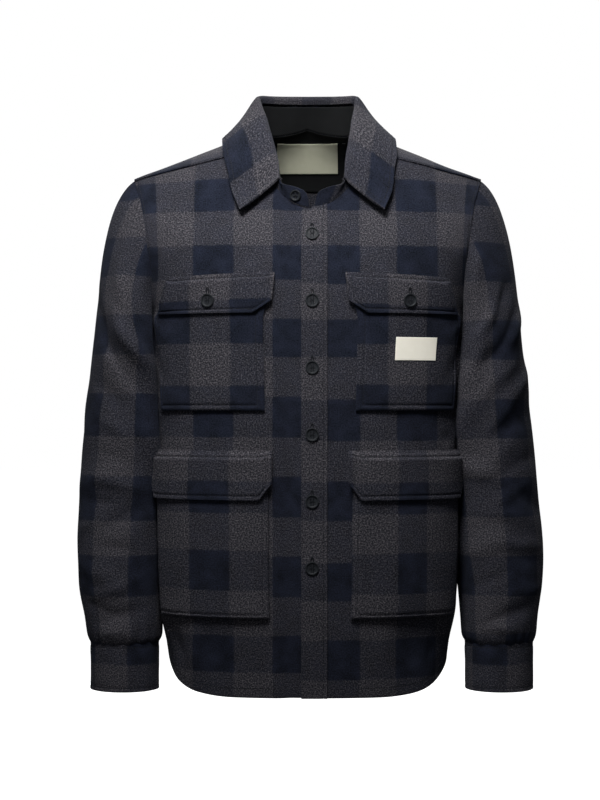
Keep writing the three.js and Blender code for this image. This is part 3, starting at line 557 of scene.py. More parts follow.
# Fronts. The hem's shares and the top's stops meet column by column, as in the solids.
front = {
    "edge": {1: -9, -1: -21}, "overlapDip": 3.1, "dip": (42, 20), "edgeTurn": (-100, -62),
    "hemShares": [0, 0.05, 0.1, 0.15, 0.21, 0.28, 0.36, 0.45, 0.54, 0.63, 0.72, 0.81, 0.9, 1],
    "neckStops": 4, "columnsEach": 6, "rows": 188,
    "hemRise": 58, "hemFlat": 0.23, "hemPower": 2.6,
    "columnBands": {1: [20, 70.5, 120.4, 175.8, 230.8], -1: [9.3, 47.8, 101, 155, 212.8]},
    "rowBands": {
        1: [-695.7, -642.5, -589, -538.8, -481.6, -429.7, -375.2, -320.7, -263.5, -214.3, -163.7, -111],
        -1: [-686.4, -637.2, -583.8, -530.4, -477, -423.6, -370.3, -316.9, -263.5, -213, -157, -110.5]},
}


def hemPlace(across, isFront):
    share = np.maximum((np.abs(across) - front["hemFlat"]) / (1 - front["hemFlat"]), 0)
    lowest = bodySections["z"][0 if isFront else backHemRow]
    rise = front["hemRise"] + bodySections["z"][0] - lowest
    height = lowest + rise * share ** front["hemPower"]
    return frontPlace(height) if isFront else backPlace(height)


def frontEdgeAcross(side, place):
    height = section("z", place)
    lateral = mix(front["edge"][side], side * neckline["frontCentre"], ease(*front["edgeTurn"], height))
    return acrossAt(place, lateral)


def frontSpot(side, part, up):
    column = np.interp(part, front["hemShares"], np.arange(len(front["hemShares"])))
    neckTurn = mix(1, yokeTurn, np.minimum(column / front["neckStops"], 1))
    neckPlace, neckAcross = necklineAt(side, neckTurn)
    seamPart = (column - front["neckStops"]) / (len(front["hemShares"]) - 1 - front["neckStops"])
    topPlace = np.where(seamPart > 0, frontYokeRow, neckPlace)
    topAcross = np.where(seamPart > 0, mix(neckAcross, 1, np.maximum(seamPart, 0)), neckAcross)
    lowAcross = mix(frontEdgeAcross(side, 0.0), 1, part)
    place = mix(hemPlace(lowAcross, True), topPlace, up)
    edge = frontEdgeAcross(side, place)
    topEdge = frontEdgeAcross(side, float(neckFrontRow))
    topShare = np.maximum((topAcross - topEdge) / (1 - topEdge), 0)
    return place, mix(edge, 1, mix(part, topShare, up))


def frontCloth(side, place, across):
    level = clothHeight(place) + levelShift(place, across)
    return stacked(bandPlace(clothAcross(place, across), front["columnBands"][side], False),
                   bandPlace(level, front["rowBands"][side], False))


def frontShape(side):
    stops = np.linspace(0, 1, len(front["hemShares"]))

    def shape(part, up):
        place, across = frontSpot(side, np.interp(part, stops, front["hemShares"]), up)
        lateral = bodyBase(1, place, across)[..., 0]
        dip = 0 if side > 0 else -front["overlapDip"] * ease(*front["dip"], lateral)
        points, normals = onBody(side, place, across, dip)
        return points, normals, frontCloth(side, place, across)
    return shape


frontGrid = (len(front["hemShares"]) - 1) * front["columnsEach"], front["rows"]
for side, which in sideNames.items():
    sewWool("front_" + which, frontGrid, frontShape(side), "wool", 0.6)
print("fronts made")

# Back
back = {"seamStep": 0.025, "grid": (92, 138), "columnBands": [-26.5, 26.5]}


def backShape(part, up):
    across = mix(-1, 1, part)
    side = np.where(across < 0, -1, 1)
    place = mix(hemPlace(across, False), backYokeRow + back["seamStep"], up)
    points, normals = onBody(side, place, np.abs(across), 0)
    u = bandPlace(side * clothAcross(place, np.abs(across)), back["columnBands"], True)
    level = section("z", place) + levelShift(place, np.abs(across))
    v = bandPlace(level, front["rowBands"][-1], False)
    return points, normals, stacked(u, v)


sewWool("back", back["grid"], backShape, "wool", 0.6)
print("back made")

# Yoke over both shoulders, and its black lining
yoke = {
    "corner": yokeTurn * 5 / 11, "grid": (176, 42), "overlap": 0.055, "step": 2.5, "liningDrop": 0.4,
    "rightBands": [57, 110, 162.6, 215], "leftBands": [72, 125, 177, 230], "rowBands": [52, 105],
}


# The yoke's cut edges lie over the fronts and the back, raised by the cloth below.
# The lining has no such lap, and drops a little lower down the back instead.
def yokeSpot(sidedTurn, reach, over):
    side = np.where(sidedTurn < 0, -1, 1)
    turn = np.abs(sidedTurn)
    startPlace, startAcross = necklineAt(side, turn)
    cornerPart = np.minimum(turn / yoke["corner"], 1)
    armPart = np.maximum((turn - yoke["corner"]) / (yokeTurn - yoke["corner"]), 0)
    place = mix(startPlace, mix(backYokeRow, frontYokeRow, armPart), reach)
    frontLap = ease(0.94, 1, turn / yokeTurn) * over
    backLap = ease(0.93, 1, reach) * ease(0.3, 0, armPart) * over
    place = place - yoke["overlap"] * frontLap + yoke["overlap"] * backLap
    place = place + yoke["liningDrop"] * (1 - over) * reach ** 4 * ease(0.3, 0, armPart)
    return side, place, mix(startAcross, cornerPart, reach), yoke["step"] * np.maximum(frontLap, backLap)


def yokeShape(lift, over):
    def shape(part, up):
        side, place, across, step = yokeSpot(mix(-yokeTurn, yokeTurn, part), up, over)
        points, normals = onBody(side, place, across, lift + step)
        lateral = bodyBase(1, place, across)[..., 0]
        u = np.where(side < 0, bandPlace(lateral, yoke["rightBands"], False),
                     bandPlace(lateral, yoke["leftBands"], False))
        v = bandPlace(clothHeight(place) + levelShift(place, across), yoke["rowBands"], True)
        return points, normals, stacked(u, v)
    return shape


liningLift = -layers["wool"] - layers["liningGap"]
sewWool("yoke", yoke["grid"], yokeShape(0, 1), "wool", 0.6)
sewLining("yoke_lining", yoke["grid"], yokeShape(liningLift, 0), "lining")
print("yoke made")

# Button band on the left front, doubled and stitched down its inner side
band = {
    "outer": 26, "grid": (16, 300), "stitch": 21, "grooveDepth": 0.8, "grooveWidth": 1.6, "checkStart": 18,
}


def bandSpot(part, up):
    topLateral = mix(neckline["frontCentre"], band["outer"], part)
    sine = (topLateral - neckline["frontCentre"]) / neckline["half"]
    topPlace = ridgeRow - (ridgeRow - neckFrontRow) * np.sqrt(1 - sine * sine)
    place = mix(0, topPlace, up)
    return place, mix(frontEdgeAcross(1, place), acrossAt(place, band["outer"]), part)


def bandShape(part, up):
    place, across = bandSpot(part, up)
    lateral = bodyBase(1, place, across)[..., 0]
    away = lateral - band["stitch"]
    groove = -band["grooveDepth"] * np.exp(-((away / band["grooveWidth"]) ** 2))
    pucker = 0.28 * clothNoise(clothHeight(place), lateral * 0.4, 9, 12) * np.exp(-np.abs(away) / 9)
    points, normals = onBody(1, place, across, layers["gap"] + layers["band"] + groove + pucker)
    u = lateral + band["checkStart"]
    v = bandPlace(clothHeight(place) + levelShift(place, across), front["rowBands"][1], False)
    return points, normals, stacked(u, v)


sewWool("button_band", band["grid"], bandShape, "band", 0.7)
print("button band made")

# Sleeves: a cap that leaves the armhole, then a tube of sections
sleeveSections = {
    "z": [-236, -300, -380, -460, -520, -575, -620, -646, -659],
    "outer": [296, 303, 311, 316, 319, 316, 307.5, 303, 297],
    "inner": [194, 190, 190, 192, 196, 202, 204, 205, 211],
    "front": [-82, -77, -71, -67, -66, -66, -66, -63.5, -57],
    "back": [88, 82, 74, 66, 58, 50, 42, 36.5, 29],
}
sleeveCut = {
    "grid": (104, 176), "lean": {-1: 0, 1: 12}, "capReach": 0.7, "capShare": 0.27,
    "tuckUnder": 3.0, "tuckIn": 3.5,
    "rowBands": {-1: [-652.7, -588.4, -533.8, -486, -424.5, -369.8, -312, -258],
                 1: [-640, -588, -534, -480, -427, -373, -320, -266]},
    "turnShift": {-1: 43, 1: 11}, "capShift": {-1: 14, 1: 0}, "gathers": 17,
}
# How far round as a share of a turn, then height, lean, length, width and depth as on the body
sleeveFolds = {
    1: [(0.2, -192, -47, 66, 11, 6), (0.14, -232, -40, 74, 12, -6), (0.27, -150, -62, 60, 12, -6),
        (0.24, -262, -30, 62, 13, 5), (0.32, -330, -62, 74, 14, -6), (0.16, -352, -24, 70, 14, 4),
        (0.3, -420, 18, 60, 13, -5), (0.14, -455, 30, 64, 14, 4), (0.3, -520, -20, 60, 14, -4),
        (0.2, -612, -12, 56, 12, 5), (0.8, -240, 44, 80, 14, -6), (0.74, -318, 34, 70, 14, 5),
        (0.82, -430, -16, 66, 14, -5), (0.72, -500, 14, 66, 14, 4), (0.8, -606, 12, 60, 13, 5),
        (0.24, -214, -44, 46, 6, -2.6), (0.19, -286, -36, 50, 7, -2.4), (0.28, -300, -52, 44, 7, 2.4),
        (0.22, -392, -40, 50, 8, -2.2), (0.13, -404, -12, 44, 8, 2), (0.24, -478, 8, 46, 8, -2.2),
        (0.17, -540, 16, 46, 8, 2), (0.29, -566, -26, 46, 8, 2), (0.14, -582, -4, 40, 7, -2),
        (0.25, -634, 4, 44, 6, -2), (0.3, -624, -18, 32, 6, 1.8), (0.04, -300, -60, 60, 12, -2),
        (0.76, -270, 38, 50, 8, -2.4), (0.84, -370, 26, 50, 8, 2.2), (0.74, -560, -12, 50, 8, -2.2),
        (0.235, -205, -54, 66, 8, -8), (0.175, -238, -52, 66, 8, 6), (0.12, -304, -34, 56, 9, -5),
        (0.3, -270, -66, 60, 9, -7),
        (0.35, -350, -84, 120, 15, -7), (0.22, -344, -46, 50, 8, -4), (0.2, -450, -30, 50, 8, -3.5),
        (0.23, -424, -26, 44, 7, 2.6), (0.16, -520, 6, 46, 8, -3)],
    -1: [(0.2, -170, -68, 70, 12, -5), (0.12, -220, -52, 76, 13, 5), (0.27, -250, -44, 66, 13, -5),
         (0.2, -318, -36, 70, 14, 4), (0.33, -372, -64, 84, 14, -6), (0.15, -430, 14, 66, 14, -4),
         (0.28, -478, 26, 60, 13, 4), (0.18, -560, -22, 66, 14, -4), (0.25, -616, 10, 60, 12, 5),
         (0.78, -228, 50, 84, 14, -6), (0.83, -330, 30, 70, 14, 5), (0.75, -440, -12, 70, 14, -5),
         (0.8, -520, 18, 64, 14, 4), (0.74, -610, 8, 62, 13, 5),
         (0.22, -214, -50, 46, 7, -2.2), (0.27, -296, -48, 44, 7, 2), (0.18, -268, -40, 44, 8, -1.8),
         (0.22, -400, -20, 46, 8, 1.8), (0.14, -492, 22, 44, 8, -1.8), (0.24, -524, -8, 46, 8, 2),
         (0.3, -570, 20, 40, 7, -2), (0.16, -606, -14, 40, 7, 1.8), (0.22, -640, 0, 44, 6, -1.8),
         (0.04, -340, -66, 60, 12, -2), (0.8, -280, 40, 50, 8, -2.2), (0.77, -380, 16, 50, 8, 2.2),
         (0.82, -570, -8, 50, 8, -2.2), (0.3, -262, -66, 60, 9, -6), (0.24, -236, -56, 60, 8, -6),
         (0.19, -262, -52, 50, 8, 3.4), (0.35, -340, -84, 120, 15, -5),
         (0.2, -356, -30, 50, 8, -3), (0.24, -436, -14, 48, 8, -3.4),
         (0.18, -462, -6, 44, 7, 2.4), (0.21, -584, 12, 44, 8, -3)],
}


def bodySide(y, z):
    place = np.where(y < 0, frontPlace(z), backPlace(z))
    crown = np.minimum(np.abs(y / section("y", place)), 1)
    spread = (1 - crown ** (2 / sectionRoundness)) ** (sectionRoundness / 2)
    return section("half", place) * spread


def armholePoint(side, around):
    share = np.where(around <= 0.5, around * 2, (1 - around) * 2)
    place = mix(ridgeRow, np.where(around <= 0.5, frontArmpitRow, backArmpitRow), share)
    normal = bodyNormal(side, place, np.ones(np.shape(place)))
    point = bodyBase(side, place, np.ones(np.shape(place)))
    return point - normal * sleeveCut["tuckUnder"] - np.array([side * sleeveCut["tuckIn"], 0, 0])


def armPoint(side, place, around):
    read = {name: readTable(values, place) for name, values in sleeveSections.items()}
    top, bottom = sleeveSections["z"][0], sleeveSections["z"][-1]
    shift = sleeveCut["lean"][side] * np.maximum((read["z"] - top) / (bottom - top), 0) ** 1.5
    angle = around * 2 * math.pi
    centre = (read["outer"] + read["inner"]) / 2 + shift
    radius = (read["outer"] - read["inner"]) / 2
    depth = (read["back"] - read["front"]) / 2
    y = (read["back"] + read["front"]) / 2 - depth * np.sin(angle)
    x = np.maximum(centre + radius * np.cos(angle), bodySide(y, read["z"]) + layers["armClearance"])
    return stacked(side * x, y, read["z"])


def sleevePoint(side, place, around):
    around = around % 1
    start = armholePoint(side, around)
    end = armPoint(side, np.zeros(np.shape(around)), around)
    under = (1 - np.cos(around * 2 * math.pi)) / 2
    reach = np.linalg.norm(end - start, axis=-1, keepdims=True) * sleeveCut["capReach"]
    leave = unit(stacked(side * mix(1, 0.25, under), 0, mix(-0.5, -0.95, under))) * reach
    arrive = unit(armPoint(side, np.full(np.shape(around), 0.5), around) - end) * reach
    part = asColumn(np.minimum(place, 1))
    rest = 1 - part
    cap = (start * (1 + 2 * part) * rest * rest + leave * part * rest * rest
           + end * part * part * (3 - 2 * part) - arrive * part * part * rest)
    return np.where(asColumn(place) >= 1, armPoint(side, place - 1, around), cap)


def sleeveFoldHeight(side, around, z):
    height = np.zeros(np.shape(around))
    for foldTurn, *fold in sleeveFolds[side]:
        turn = around - foldTurn
        nearest = turn - np.round(turn)
        height = height + foldHeight((0, *fold), nearest * sleeveGirth, z)
    return height * (ease(0.44, 0.36, around) + ease(0.58, 0.66, around))


def sleeveShape(side):
    last = len(sleeveSections["z"])
    stops = np.linspace(0, 1, 401)
    places = np.interp(stops, [0, sleeveCut["capShare"], 1], [0, 1, last])

    def surface(part, down):
        return sleevePoint(side, np.interp(down, stops, places), part % 1)

    def shape(part, up):
        down = 1 - up
        place = np.interp(down, stops, places)
        normals = surfaceNormal(surface, part, down, -side)
        points = surface(part, down)
        z = points[..., 2]
        fade = ease(0, 0.3, place) * ease(last, last - 0.3, place)
        turn = part * 2 * math.pi
        ripple = 0.8 * clothNoise(200 + 60 * np.cos(turn), z * 0.7 + 60 * np.sin(turn), 34, 21 + side)
        uneven = 2 * clothNoise(part * 90, 0 * part, 9, 5)
        gather = 0.8 * ease(-618, -650, z) * np.sin(turn * sleeveCut["gathers"] + uneven)
        folds = fade * (sleeveFoldHeight(side, part % 1, z) + ripple)
        height = folds + gather * ease(last, last - 0.1, place)
        points = points + normals * asColumn(height)
        capShift = sleeveCut["capShift"][side] * ease(-250, -170, z)
        u = part * sleeveGirth + sleeveCut["turnShift"][side] + capShift
        v = bandPlace(z, sleeveCut["rowBands"][side], True)
        return points, normals, stacked(u, v)
    return shape


for side, which in sideNames.items():
    sewWool("sleeve_" + which, sleeveCut["grid"], sleeveShape(side), "wool", 0.6, closed=True)
print("sleeves made")

# Cuffs: each laps over itself at the back and is stitched round both edges
cuff = {
    "top": -655.1, "bottom": -722, "outer": 301.5, "inner": 206.5, "front": -61, "back": 33,
    "lapStart": 0.82, "lap": 0.09, "grid": (140, 34), "stitch": 6,
    "long": 330, "checkStart": {-1: 20, 1: 34}, "checkUp": 14,
}
cuffHigh = cuff["top"] - cuff["bottom"]


def cuffSpot(side, up, part):
    around = cuff["lapStart"] + part * (1 + cuff["lap"])
    overlap = ease(1, 1 + cuff["lap"] * 0.6, part * (1 + cuff["lap"])) * (layers["cuff"] + layers["gap"])
    angle = around * 2 * math.pi
    centreX = (cuff["outer"] + cuff["inner"]) / 2 + sleeveCut["lean"][side]
    centreY = (cuff["front"] + cuff["back"]) / 2
    radiusX, radiusY = (cuff["outer"] - cuff["inner"]) / 2, (cuff["back"] - cuff["front"]) / 2
    normal = unit(stacked(side * np.cos(angle) * radiusY, -np.sin(angle) * radiusX, 0))
    point = stacked(side * (centreX + radiusX * np.cos(angle)), centreY - radiusY * np.sin(angle),
                    mix(cuff["bottom"], cuff["top"], up))
    return point + normal * asColumn(overlap), normal


def cuffShape(side):
    def shape(part, up):
        points, normals = cuffSpot(side, up, part)
        height = cuffHigh * up
        long = part * cuff["long"]
        near = np.minimum(height, cuffHigh - height)
        groove = -0.5 * np.exp(-(((near - cuff["stitch"]) / 1.5) ** 2))
        ripple = 0.5 * clothNoise(long, height, 18, 31 + side) * ease(0, 0.04, part) * ease(1, 0.93, part)
        points = points + normals * asColumn(groove + ripple)
        return points, normals, stacked(long + cuff["checkStart"][side], height + cuff["checkUp"])
    return shape


for side, which in sideNames.items():
    sewWool("cuff_" + which, cuff["grid"], cuffShape(side), "cuff", 1.0)
print("cuffs made")

# Collar: stand, facing and leaf, by turn from the centre back, 0, to the front, 1
standTop = {
    "turn": [0, 0.12, 0.25, 0.38, 0.5, 0.583, 0.667, 0.76, 0.86, 0.93, 0.97, 1],
    "x": [0, 31, 58, 69, 67, 61, 54, 48, 44, 24, 10, 3],
    "y": [47, 45, 37, 24, 4, -28, -54, -76, -92, -99, -101, -99],
    "z": [97, 97, 97, 93, 78, 54, 26, 0, -27, -33, -40, -54],
}
leafEdge = {
    "turn": [0, 0.12, 0.25, 0.38, 0.5, 0.583, 0.667, 0.76, 0.86],
    "x": [0, 40, 80, 110, 121, 120, 114, 109, 97],
    "y": [86, 84, 68, 36, -3, -43, -70, -90, -112],
    "z": [54, 53, 49, 48, 43, 20, -7, -36, -66],
    "rise": [11, 11, 11, 11, 9, 8, 7, 6, 4],
}
collar = {
    "standEnd": 0.985, "leafEnd": 0.86, "roll": 9, "standGrid": (190, 16), "leafGrid": (200, 50),
    "standLong": 430, "standHigh": 36, "standCheck": (64, 62),
    "leafLong": 480, "leafHigh": 74, "leafCheckUp": 8,
    "leafCheck": ([0, 150, 330, 480], [17, 167, 380, 530]), "leafStops": ([0, 0.3, 1], [0, 0.6, 1]),
}


def standPoint(sidedTurn, up):
    side = np.where(sidedTurn < 0, -1, 1)
    turn = np.abs(sidedTurn)
    startPlace, startAcross = necklineAt(side, turn)
    low = onBody(side, startPlace, startAcross, 0)[0]
    high = stacked(side * readTurn(standTop, "x", turn) + neckline["frontCentre"] * ease(0.35, 0.8, turn),
                   readTurn(standTop, "y", turn), readTurn(standTop, "z", turn))
    return mix(low, high, asColumn(up * np.ones(np.shape(turn))))


def standShape(lift):
    def surface(part, up):
        return standPoint(mix(-collar["standEnd"], collar["standEnd"], part), mix(-0.02, 0.93, up))

    def shape(part, up):
        normals = surfaceNormal(surface, part, up, 1)
        points = surface(part, up)
        outward = np.sign((normals * (points - np.array([0, 0, 40]))).sum(axis=-1).mean())
        normals = normals * outward
        points = points + normals * lift
        spots = stacked(part * collar["standLong"], up * collar["standHigh"])
        return points, normals, spots + collar["standCheck"]
    return shape


# A smooth line through the stops, spaced by the square root of their distances
def throughStops(stops, part):
    count = len(stops)
    place = np.clip(part, 0, 1) * (count - 1)
    index = np.minimum(place.astype(int), count - 2)
    weight = asColumn(place - index)
    padded = np.stack([2 * stops[0] - stops[1], *stops, 2 * stops[-1] - stops[-2]])
    rows = np.arange(padded.shape[1])
    p0, p1, p2, p3 = (padded[index + k, rows] for k in range(4))
    d0, d1, d2 = (np.maximum(np.linalg.norm(b - a, axis=-1, keepdims=True) ** 0.5, 1e-4)
                  for a, b in ((p0, p1), (p1, p2), (p2, p3)))
    start = ((p1 - p0) / d0 - (p2 - p0) / (d0 + d1) + (p2 - p1) / d1) * d1
    end = ((p2 - p1) / d1 - (p3 - p1) / (d1 + d2) + (p3 - p2) / d2) * d1
    return (p1 + start * weight + (-3 * p1 + 3 * p2 - 2 * start - end) * weight ** 2
            + (2 * p1 - 2 * p2 + start + end) * weight ** 3)


def leafPoint(sidedTurn, part):
    side = np.where(sidedTurn < 0, -1, 1)
    turn = np.abs(sidedTurn)
    shift = neckline["frontCentre"] * ease(0.35, 0.8, turn)
    seam = standPoint(sidedTurn, 1.0)
    up = unit(seam - standPoint(sidedTurn, 0.6))
    edge = stacked(side * readTurn(leafEdge, "x", turn) + shift, readTurn(leafEdge, "y", turn),
                   readTurn(leafEdge, "z", turn))
    along = unit(standPoint(sidedTurn + 0.01, 1.0) - standPoint(sidedTurn - 0.01, 1.0))
    out = -unit(np.cross(along, up))
    rise = asColumn(readTurn(leafEdge, "rise", turn))
    roll = collar["roll"]
    begin = seam - out * layers["leaf"] * 0.8 + up * layers["gap"]
    halfway = mix(begin + out * roll, edge, 0.5) + out * roll * 0.3
    stops = [begin, begin + up * rise * 0.7, begin + up * rise + out * roll * 0.45,
             begin + up * rise * 0.62 + out * roll, halfway, edge]
    return throughStops(stops, part)


def leafShape(part, up):
    leafParts = np.interp(up, *collar["leafStops"])

    def surface(across, down):
        turn = mix(-collar["leafEnd"], collar["leafEnd"], across)
        return leafPoint(turn, np.interp(down, *collar["leafStops"]))

    normals = surfaceNormal(surface, part, up, 1)
    points = surface(part, up)
    outward = np.sign((normals * points).sum(axis=-1)[leafParts > 0.8].mean())
    normals = normals * outward
    wave = 0.5 * clothNoise(part * 460, up * 70, 30, 41) * ease(0.4, 0.7, leafParts)
    points = points + normals * asColumn(wave)
    along = np.interp(part * collar["leafLong"], *collar["leafCheck"])
    return points, normals, stacked(along, up * collar["leafHigh"] + collar["leafCheckUp"])


sewWool("collar_stand", collar["standGrid"], standShape(0), "stand", 0.5)
sewLining("stand_facing", collar["standGrid"], standShape(-layers["stand"] - 0.3), "facing")
sewWool("collar_leaf", collar["leafGrid"], leafShape, "leaf", 1.0)
print("collar made")

# Pockets: a bag with its stitched edge, and a flap with cut corners over it
pockets = {
    "chest": {
        "bag": (0.122, 0.7), "flap": (0.105, 0.725), "flapHigh": (-152, -206), "bagHigh": (-166, -336),
        "clip": (15, 17), "standOff": 1.2, "bagGrid": (88, 96), "flapGrid": (92, 54),
        "flapStitch": 6, "bagStitch": 7, "bagStartsGrey": True,
        "bands": {-1: {"columns": [103.7, 157.8], "flapRows": [-186.3, -133], "bagRows": [-302, -244.9]},
                  1: {"columns": [106.7, 158.3], "flapRows": [-193, -140], "bagRows": [-300.7, -246]}}},
    "hip": {
        "bag": (0.112, 0.785), "flap": (0.098, 0.8), "flapHigh": (-389, -455), "bagHigh": (-404, -615),
        "clip": (12, 23), "standOff": 3.8, "bagGrid": (90, 114), "flapGrid": (96, 60),
        "flapStitch": 9, "bagStitch": 6, "bagStartsGrey": False,
        "bands": {-1: {"columns": [50, 105, 156.7, 209], "flapRows": [-428.4, -375],
                       "bagRows": [-574.7, -521.5, -471]},
                  1: {"columns": [60, 120, 157, 208], "flapRows": [-431, -378],
                      "bagRows": [-580, -526, -473]}}},
}
leftPocketShift = 0.016
flapRamp = 0.2
flapEdgeStitch = 5.5
clipShare = 0.1


def pocketStart(side, start):
    return start + (leftPocketShift if side > 0 else 0)


def pocketSize(side, pocket, part):
    start, end = pocket[part]
    top, bottom = pocket[part + "High"]
    return (end - pocketStart(side, start)) * quarterGirth, top - bottom


def clipHeight(pocket, near):
    return pocket["clip"][1] * (1 - np.minimum(near / pocket["clip"][0], 1))


def bagSpot(side, pocket, part, down, lift=0):
    place = frontPlace(mix(*pocket["bagHigh"], down))
    across = mix(pocketStart(side, pocket["bag"][0]), pocket["bag"][1], part)
    rim = ease(0, 0.03, part) * ease(1, 0.97, part) * ease(1, 0.984, down)
    over = layers["pocketGap"] + pocket["standOff"] * rim + layers["bag"] + lift
    return onBody(side, place, across, over), place, across


def flapSpot(side, pocket, part, down, lift=0):
    start = pocketStart(side, pocket["flap"][0])
    near = np.minimum(part, 1 - part) * pocketSize(side, pocket, "flap")[0]
    clip = clipHeight(pocket, near)
    place = frontPlace(mix(pocket["flapHigh"][0], pocket["flapHigh"][1] + clip, down))
    across = mix(start, pocket["flap"][1], part)
    overBag = pocket["standOff"] + layers["bag"] + layers["pocketGap"]
    over = layers["pocketGap"] + overBag * ease(0, flapRamp, down)
    return onBody(side, place, across, over + layers["flap"] + lift), place, across


def bagShape(side, pocket, name):
    wide, high = pocketSize(side, pocket, "bag")
    bands = pocket["bands"][side]

    def shape(part, up):
        down = 1 - up
        near = np.minimum(np.minimum(part, 1 - part) * wide, (1 - down) * high)
        away = near - pocket["bagStitch"]
        groove = -1.5 * np.exp(-((away / 1.7) ** 2))
        sag = 1.1 * clothNoise(part * wide, down * high, 38, 50 + len(name) + side) * ease(6, 26, near)
        pucker = 0.3 * clothNoise(part * wide, down * high, 8, 51 + side) * np.exp(-np.abs(away) / 7)
        (points, normals), place, across = bagSpot(side, pocket, part, down, groove + sag * 0.6 + pucker)
        u = bandPlace(bodyBase(1, place, across)[..., 0], bands["columns"], True)
        v = bandPlace(clothHeight(place), bands["bagRows"], pocket["bagStartsGrey"])
        return points, normals, stacked(u, v)
    return shape


def flapShape(side, pocket):
    wide, high = pocketSize(side, pocket, "flap")
    bands = pocket["bands"][side]
    clipPart = pocket["clip"][0] / wide

    def shape(column, up):
        part = np.interp(column, [0, clipShare, 1 - clipShare, 1], [0, clipPart, 1 - clipPart, 1])
        down = 1 - up
        near = np.minimum(part, 1 - part) * wide
        fromEdge = np.minimum(near, (1 - down) * (high - clipHeight(pocket, near)))
        topGroove = -2.4 * np.exp(-(((down * high - pocket["flapStitch"]) / 1.8) ** 2))
        groove = -1.1 * np.exp(-(((fromEdge - flapEdgeStitch) / 1.5) ** 2)) * ease(0.05, 0.2, down)
        swell = 0.9 * clothNoise(part * wide, down * high, 30, 60 + side) * ease(0.2, 0.5, down)
        pucker = 0.3 * clothNoise(part * wide, down * high, 8, 61 + side) * ease(16, 4, down * high)
        lift = topGroove + groove + swell * 0.5 + pucker
        (points, normals), place, across = flapSpot(side, pocket, part, down, lift)
        u = bandPlace(bodyBase(1, place, across)[..., 0], bands["columns"], True)
        v = bandPlace(clothHeight(place), bands["flapRows"], True)
        return points, normals, stacked(u, v)
    return shape


for pocketName, pocket in pockets.items():
    for side, which in sideNames.items():
        bag, flap = bagShape(side, pocket, pocketName), flapShape(side, pocket)
        sewWool(f"{pocketName}_bag_{which}", pocket["bagGrid"], bag, "bag", 0.8)
        sewWool(f"{pocketName}_flap_{which}", pocket["flapGrid"], flap, "flap", 1.0)
print("pockets made")

# Labels, left bare, and the neck tab
labels = {
    "neckWide": 89, "neckHigh": (7, 48), "neckLong": 50, "neckGrid": (40, 24), "thinEdge": 0.15,
    "chestAcross": (0.29, 0.505), "chestHigh": (-269, -238), "chestCloth": (56, 31), "chestGrid": (30, 18),
    "tabAcross": (51, 56), "tabHigh": (34, 48), "tabCloth": (5, 16), "tabGrid": (6, 12), "tabThick": 1.2,
}


# A level place on the inside of the back, which slopes away from the neck
def neckSpot(lateral, height):
    side = np.where(lateral < 0, -1, 1)
    place = backPlace(height)
    for _ in range(8):
        spread = np.abs(lateral) / section("half", place)
        drop = section("drop", place) * spread ** section("bend", place)
        place = backPlace(height + drop)
    lift = liningLift - layers["lining"] - layers["gap"]
    return onBody(side, place, acrossAt(place, np.abs(lateral)), lift)


def neckLabelShape(part, up):
    across = mix(-labels["neckWide"] / 2, labels["neckWide"] / 2, part)
    points, normals = neckSpot(across, mix(*labels["neckHigh"], up))
    return points, normals, stacked(part * labels["neckWide"], up * labels["neckLong"])


def neckTabShape(part, up):
    points, normals = neckSpot(mix(*labels["tabAcross"], part), mix(*labels["tabHigh"], up))
    return points, normals, stacked(part, up) * labels["tabCloth"]


def chestLabelShape(part, up):
    place = frontPlace(mix(*labels["chestHigh"], up))
    across = mix(*labels["chestAcross"], part)
    onBag = layers["pocketGap"] + pockets["chest"]["standOff"] + layers["bag"]
    lift = onBag + layers["gap"] / 2 + layers["label"]
    points, normals = onBody(1, place, across, lift)
    return points, normals, stacked(part, up) * labels["chestCloth"]


neckLabel = makeCloth("neck_label_tape", *labels["neckGrid"], neckLabelShape, layers["label"],
                      labels["thinEdge"])
dress(neckLabel, neckTape, "label_tape", "neck_label")
neckTab = makeCloth("neck_tab_tape", *labels["tabGrid"], neckTabShape, labels["tabThick"], 0.3)
dress(neckTab, lining, "black_lining", "neck_tab")
chestLabel = makeCloth("chest_label_tape", *labels["chestGrid"], chestLabelShape, layers["label"],
                       labels["thinEdge"])
dress(chestLabel, chestTape, "label_tape", "chest_label")
print("labels made")

# Stitches: one thread loop, copied along a line on the cloth
stitch = {"long": 3.2, "wide": 1.4, "high": 0.8, "pitch": 3.6, "sink": 0.05}
bpy.ops.object.select_all(action="DESELECT")
bpy.ops.mesh.primitive_uv_sphere_add(segments=6, ring_count=5, radius=0.5, location=(0, 0, 0))
editMesh("SELECT")
bpy.ops.transform.resize(value=(stitch["long"], stitch["wide"], stitch["high"]))
bpy.ops.object.mode_set(mode="OBJECT")
stitchLoop = bpy.context.active_object
loopSpots = np.array([vertex.co[:] for vertex in stitchLoop.data.vertices])
loopFaces = [tuple(face.vertices) for face in stitchLoop.data.polygons]
bpy.data.objects.remove(stitchLoop)


def readLine(marks, run, rows):
    return stacked(*(np.interp(marks, run, rows[:, k]) for k in range(3)))


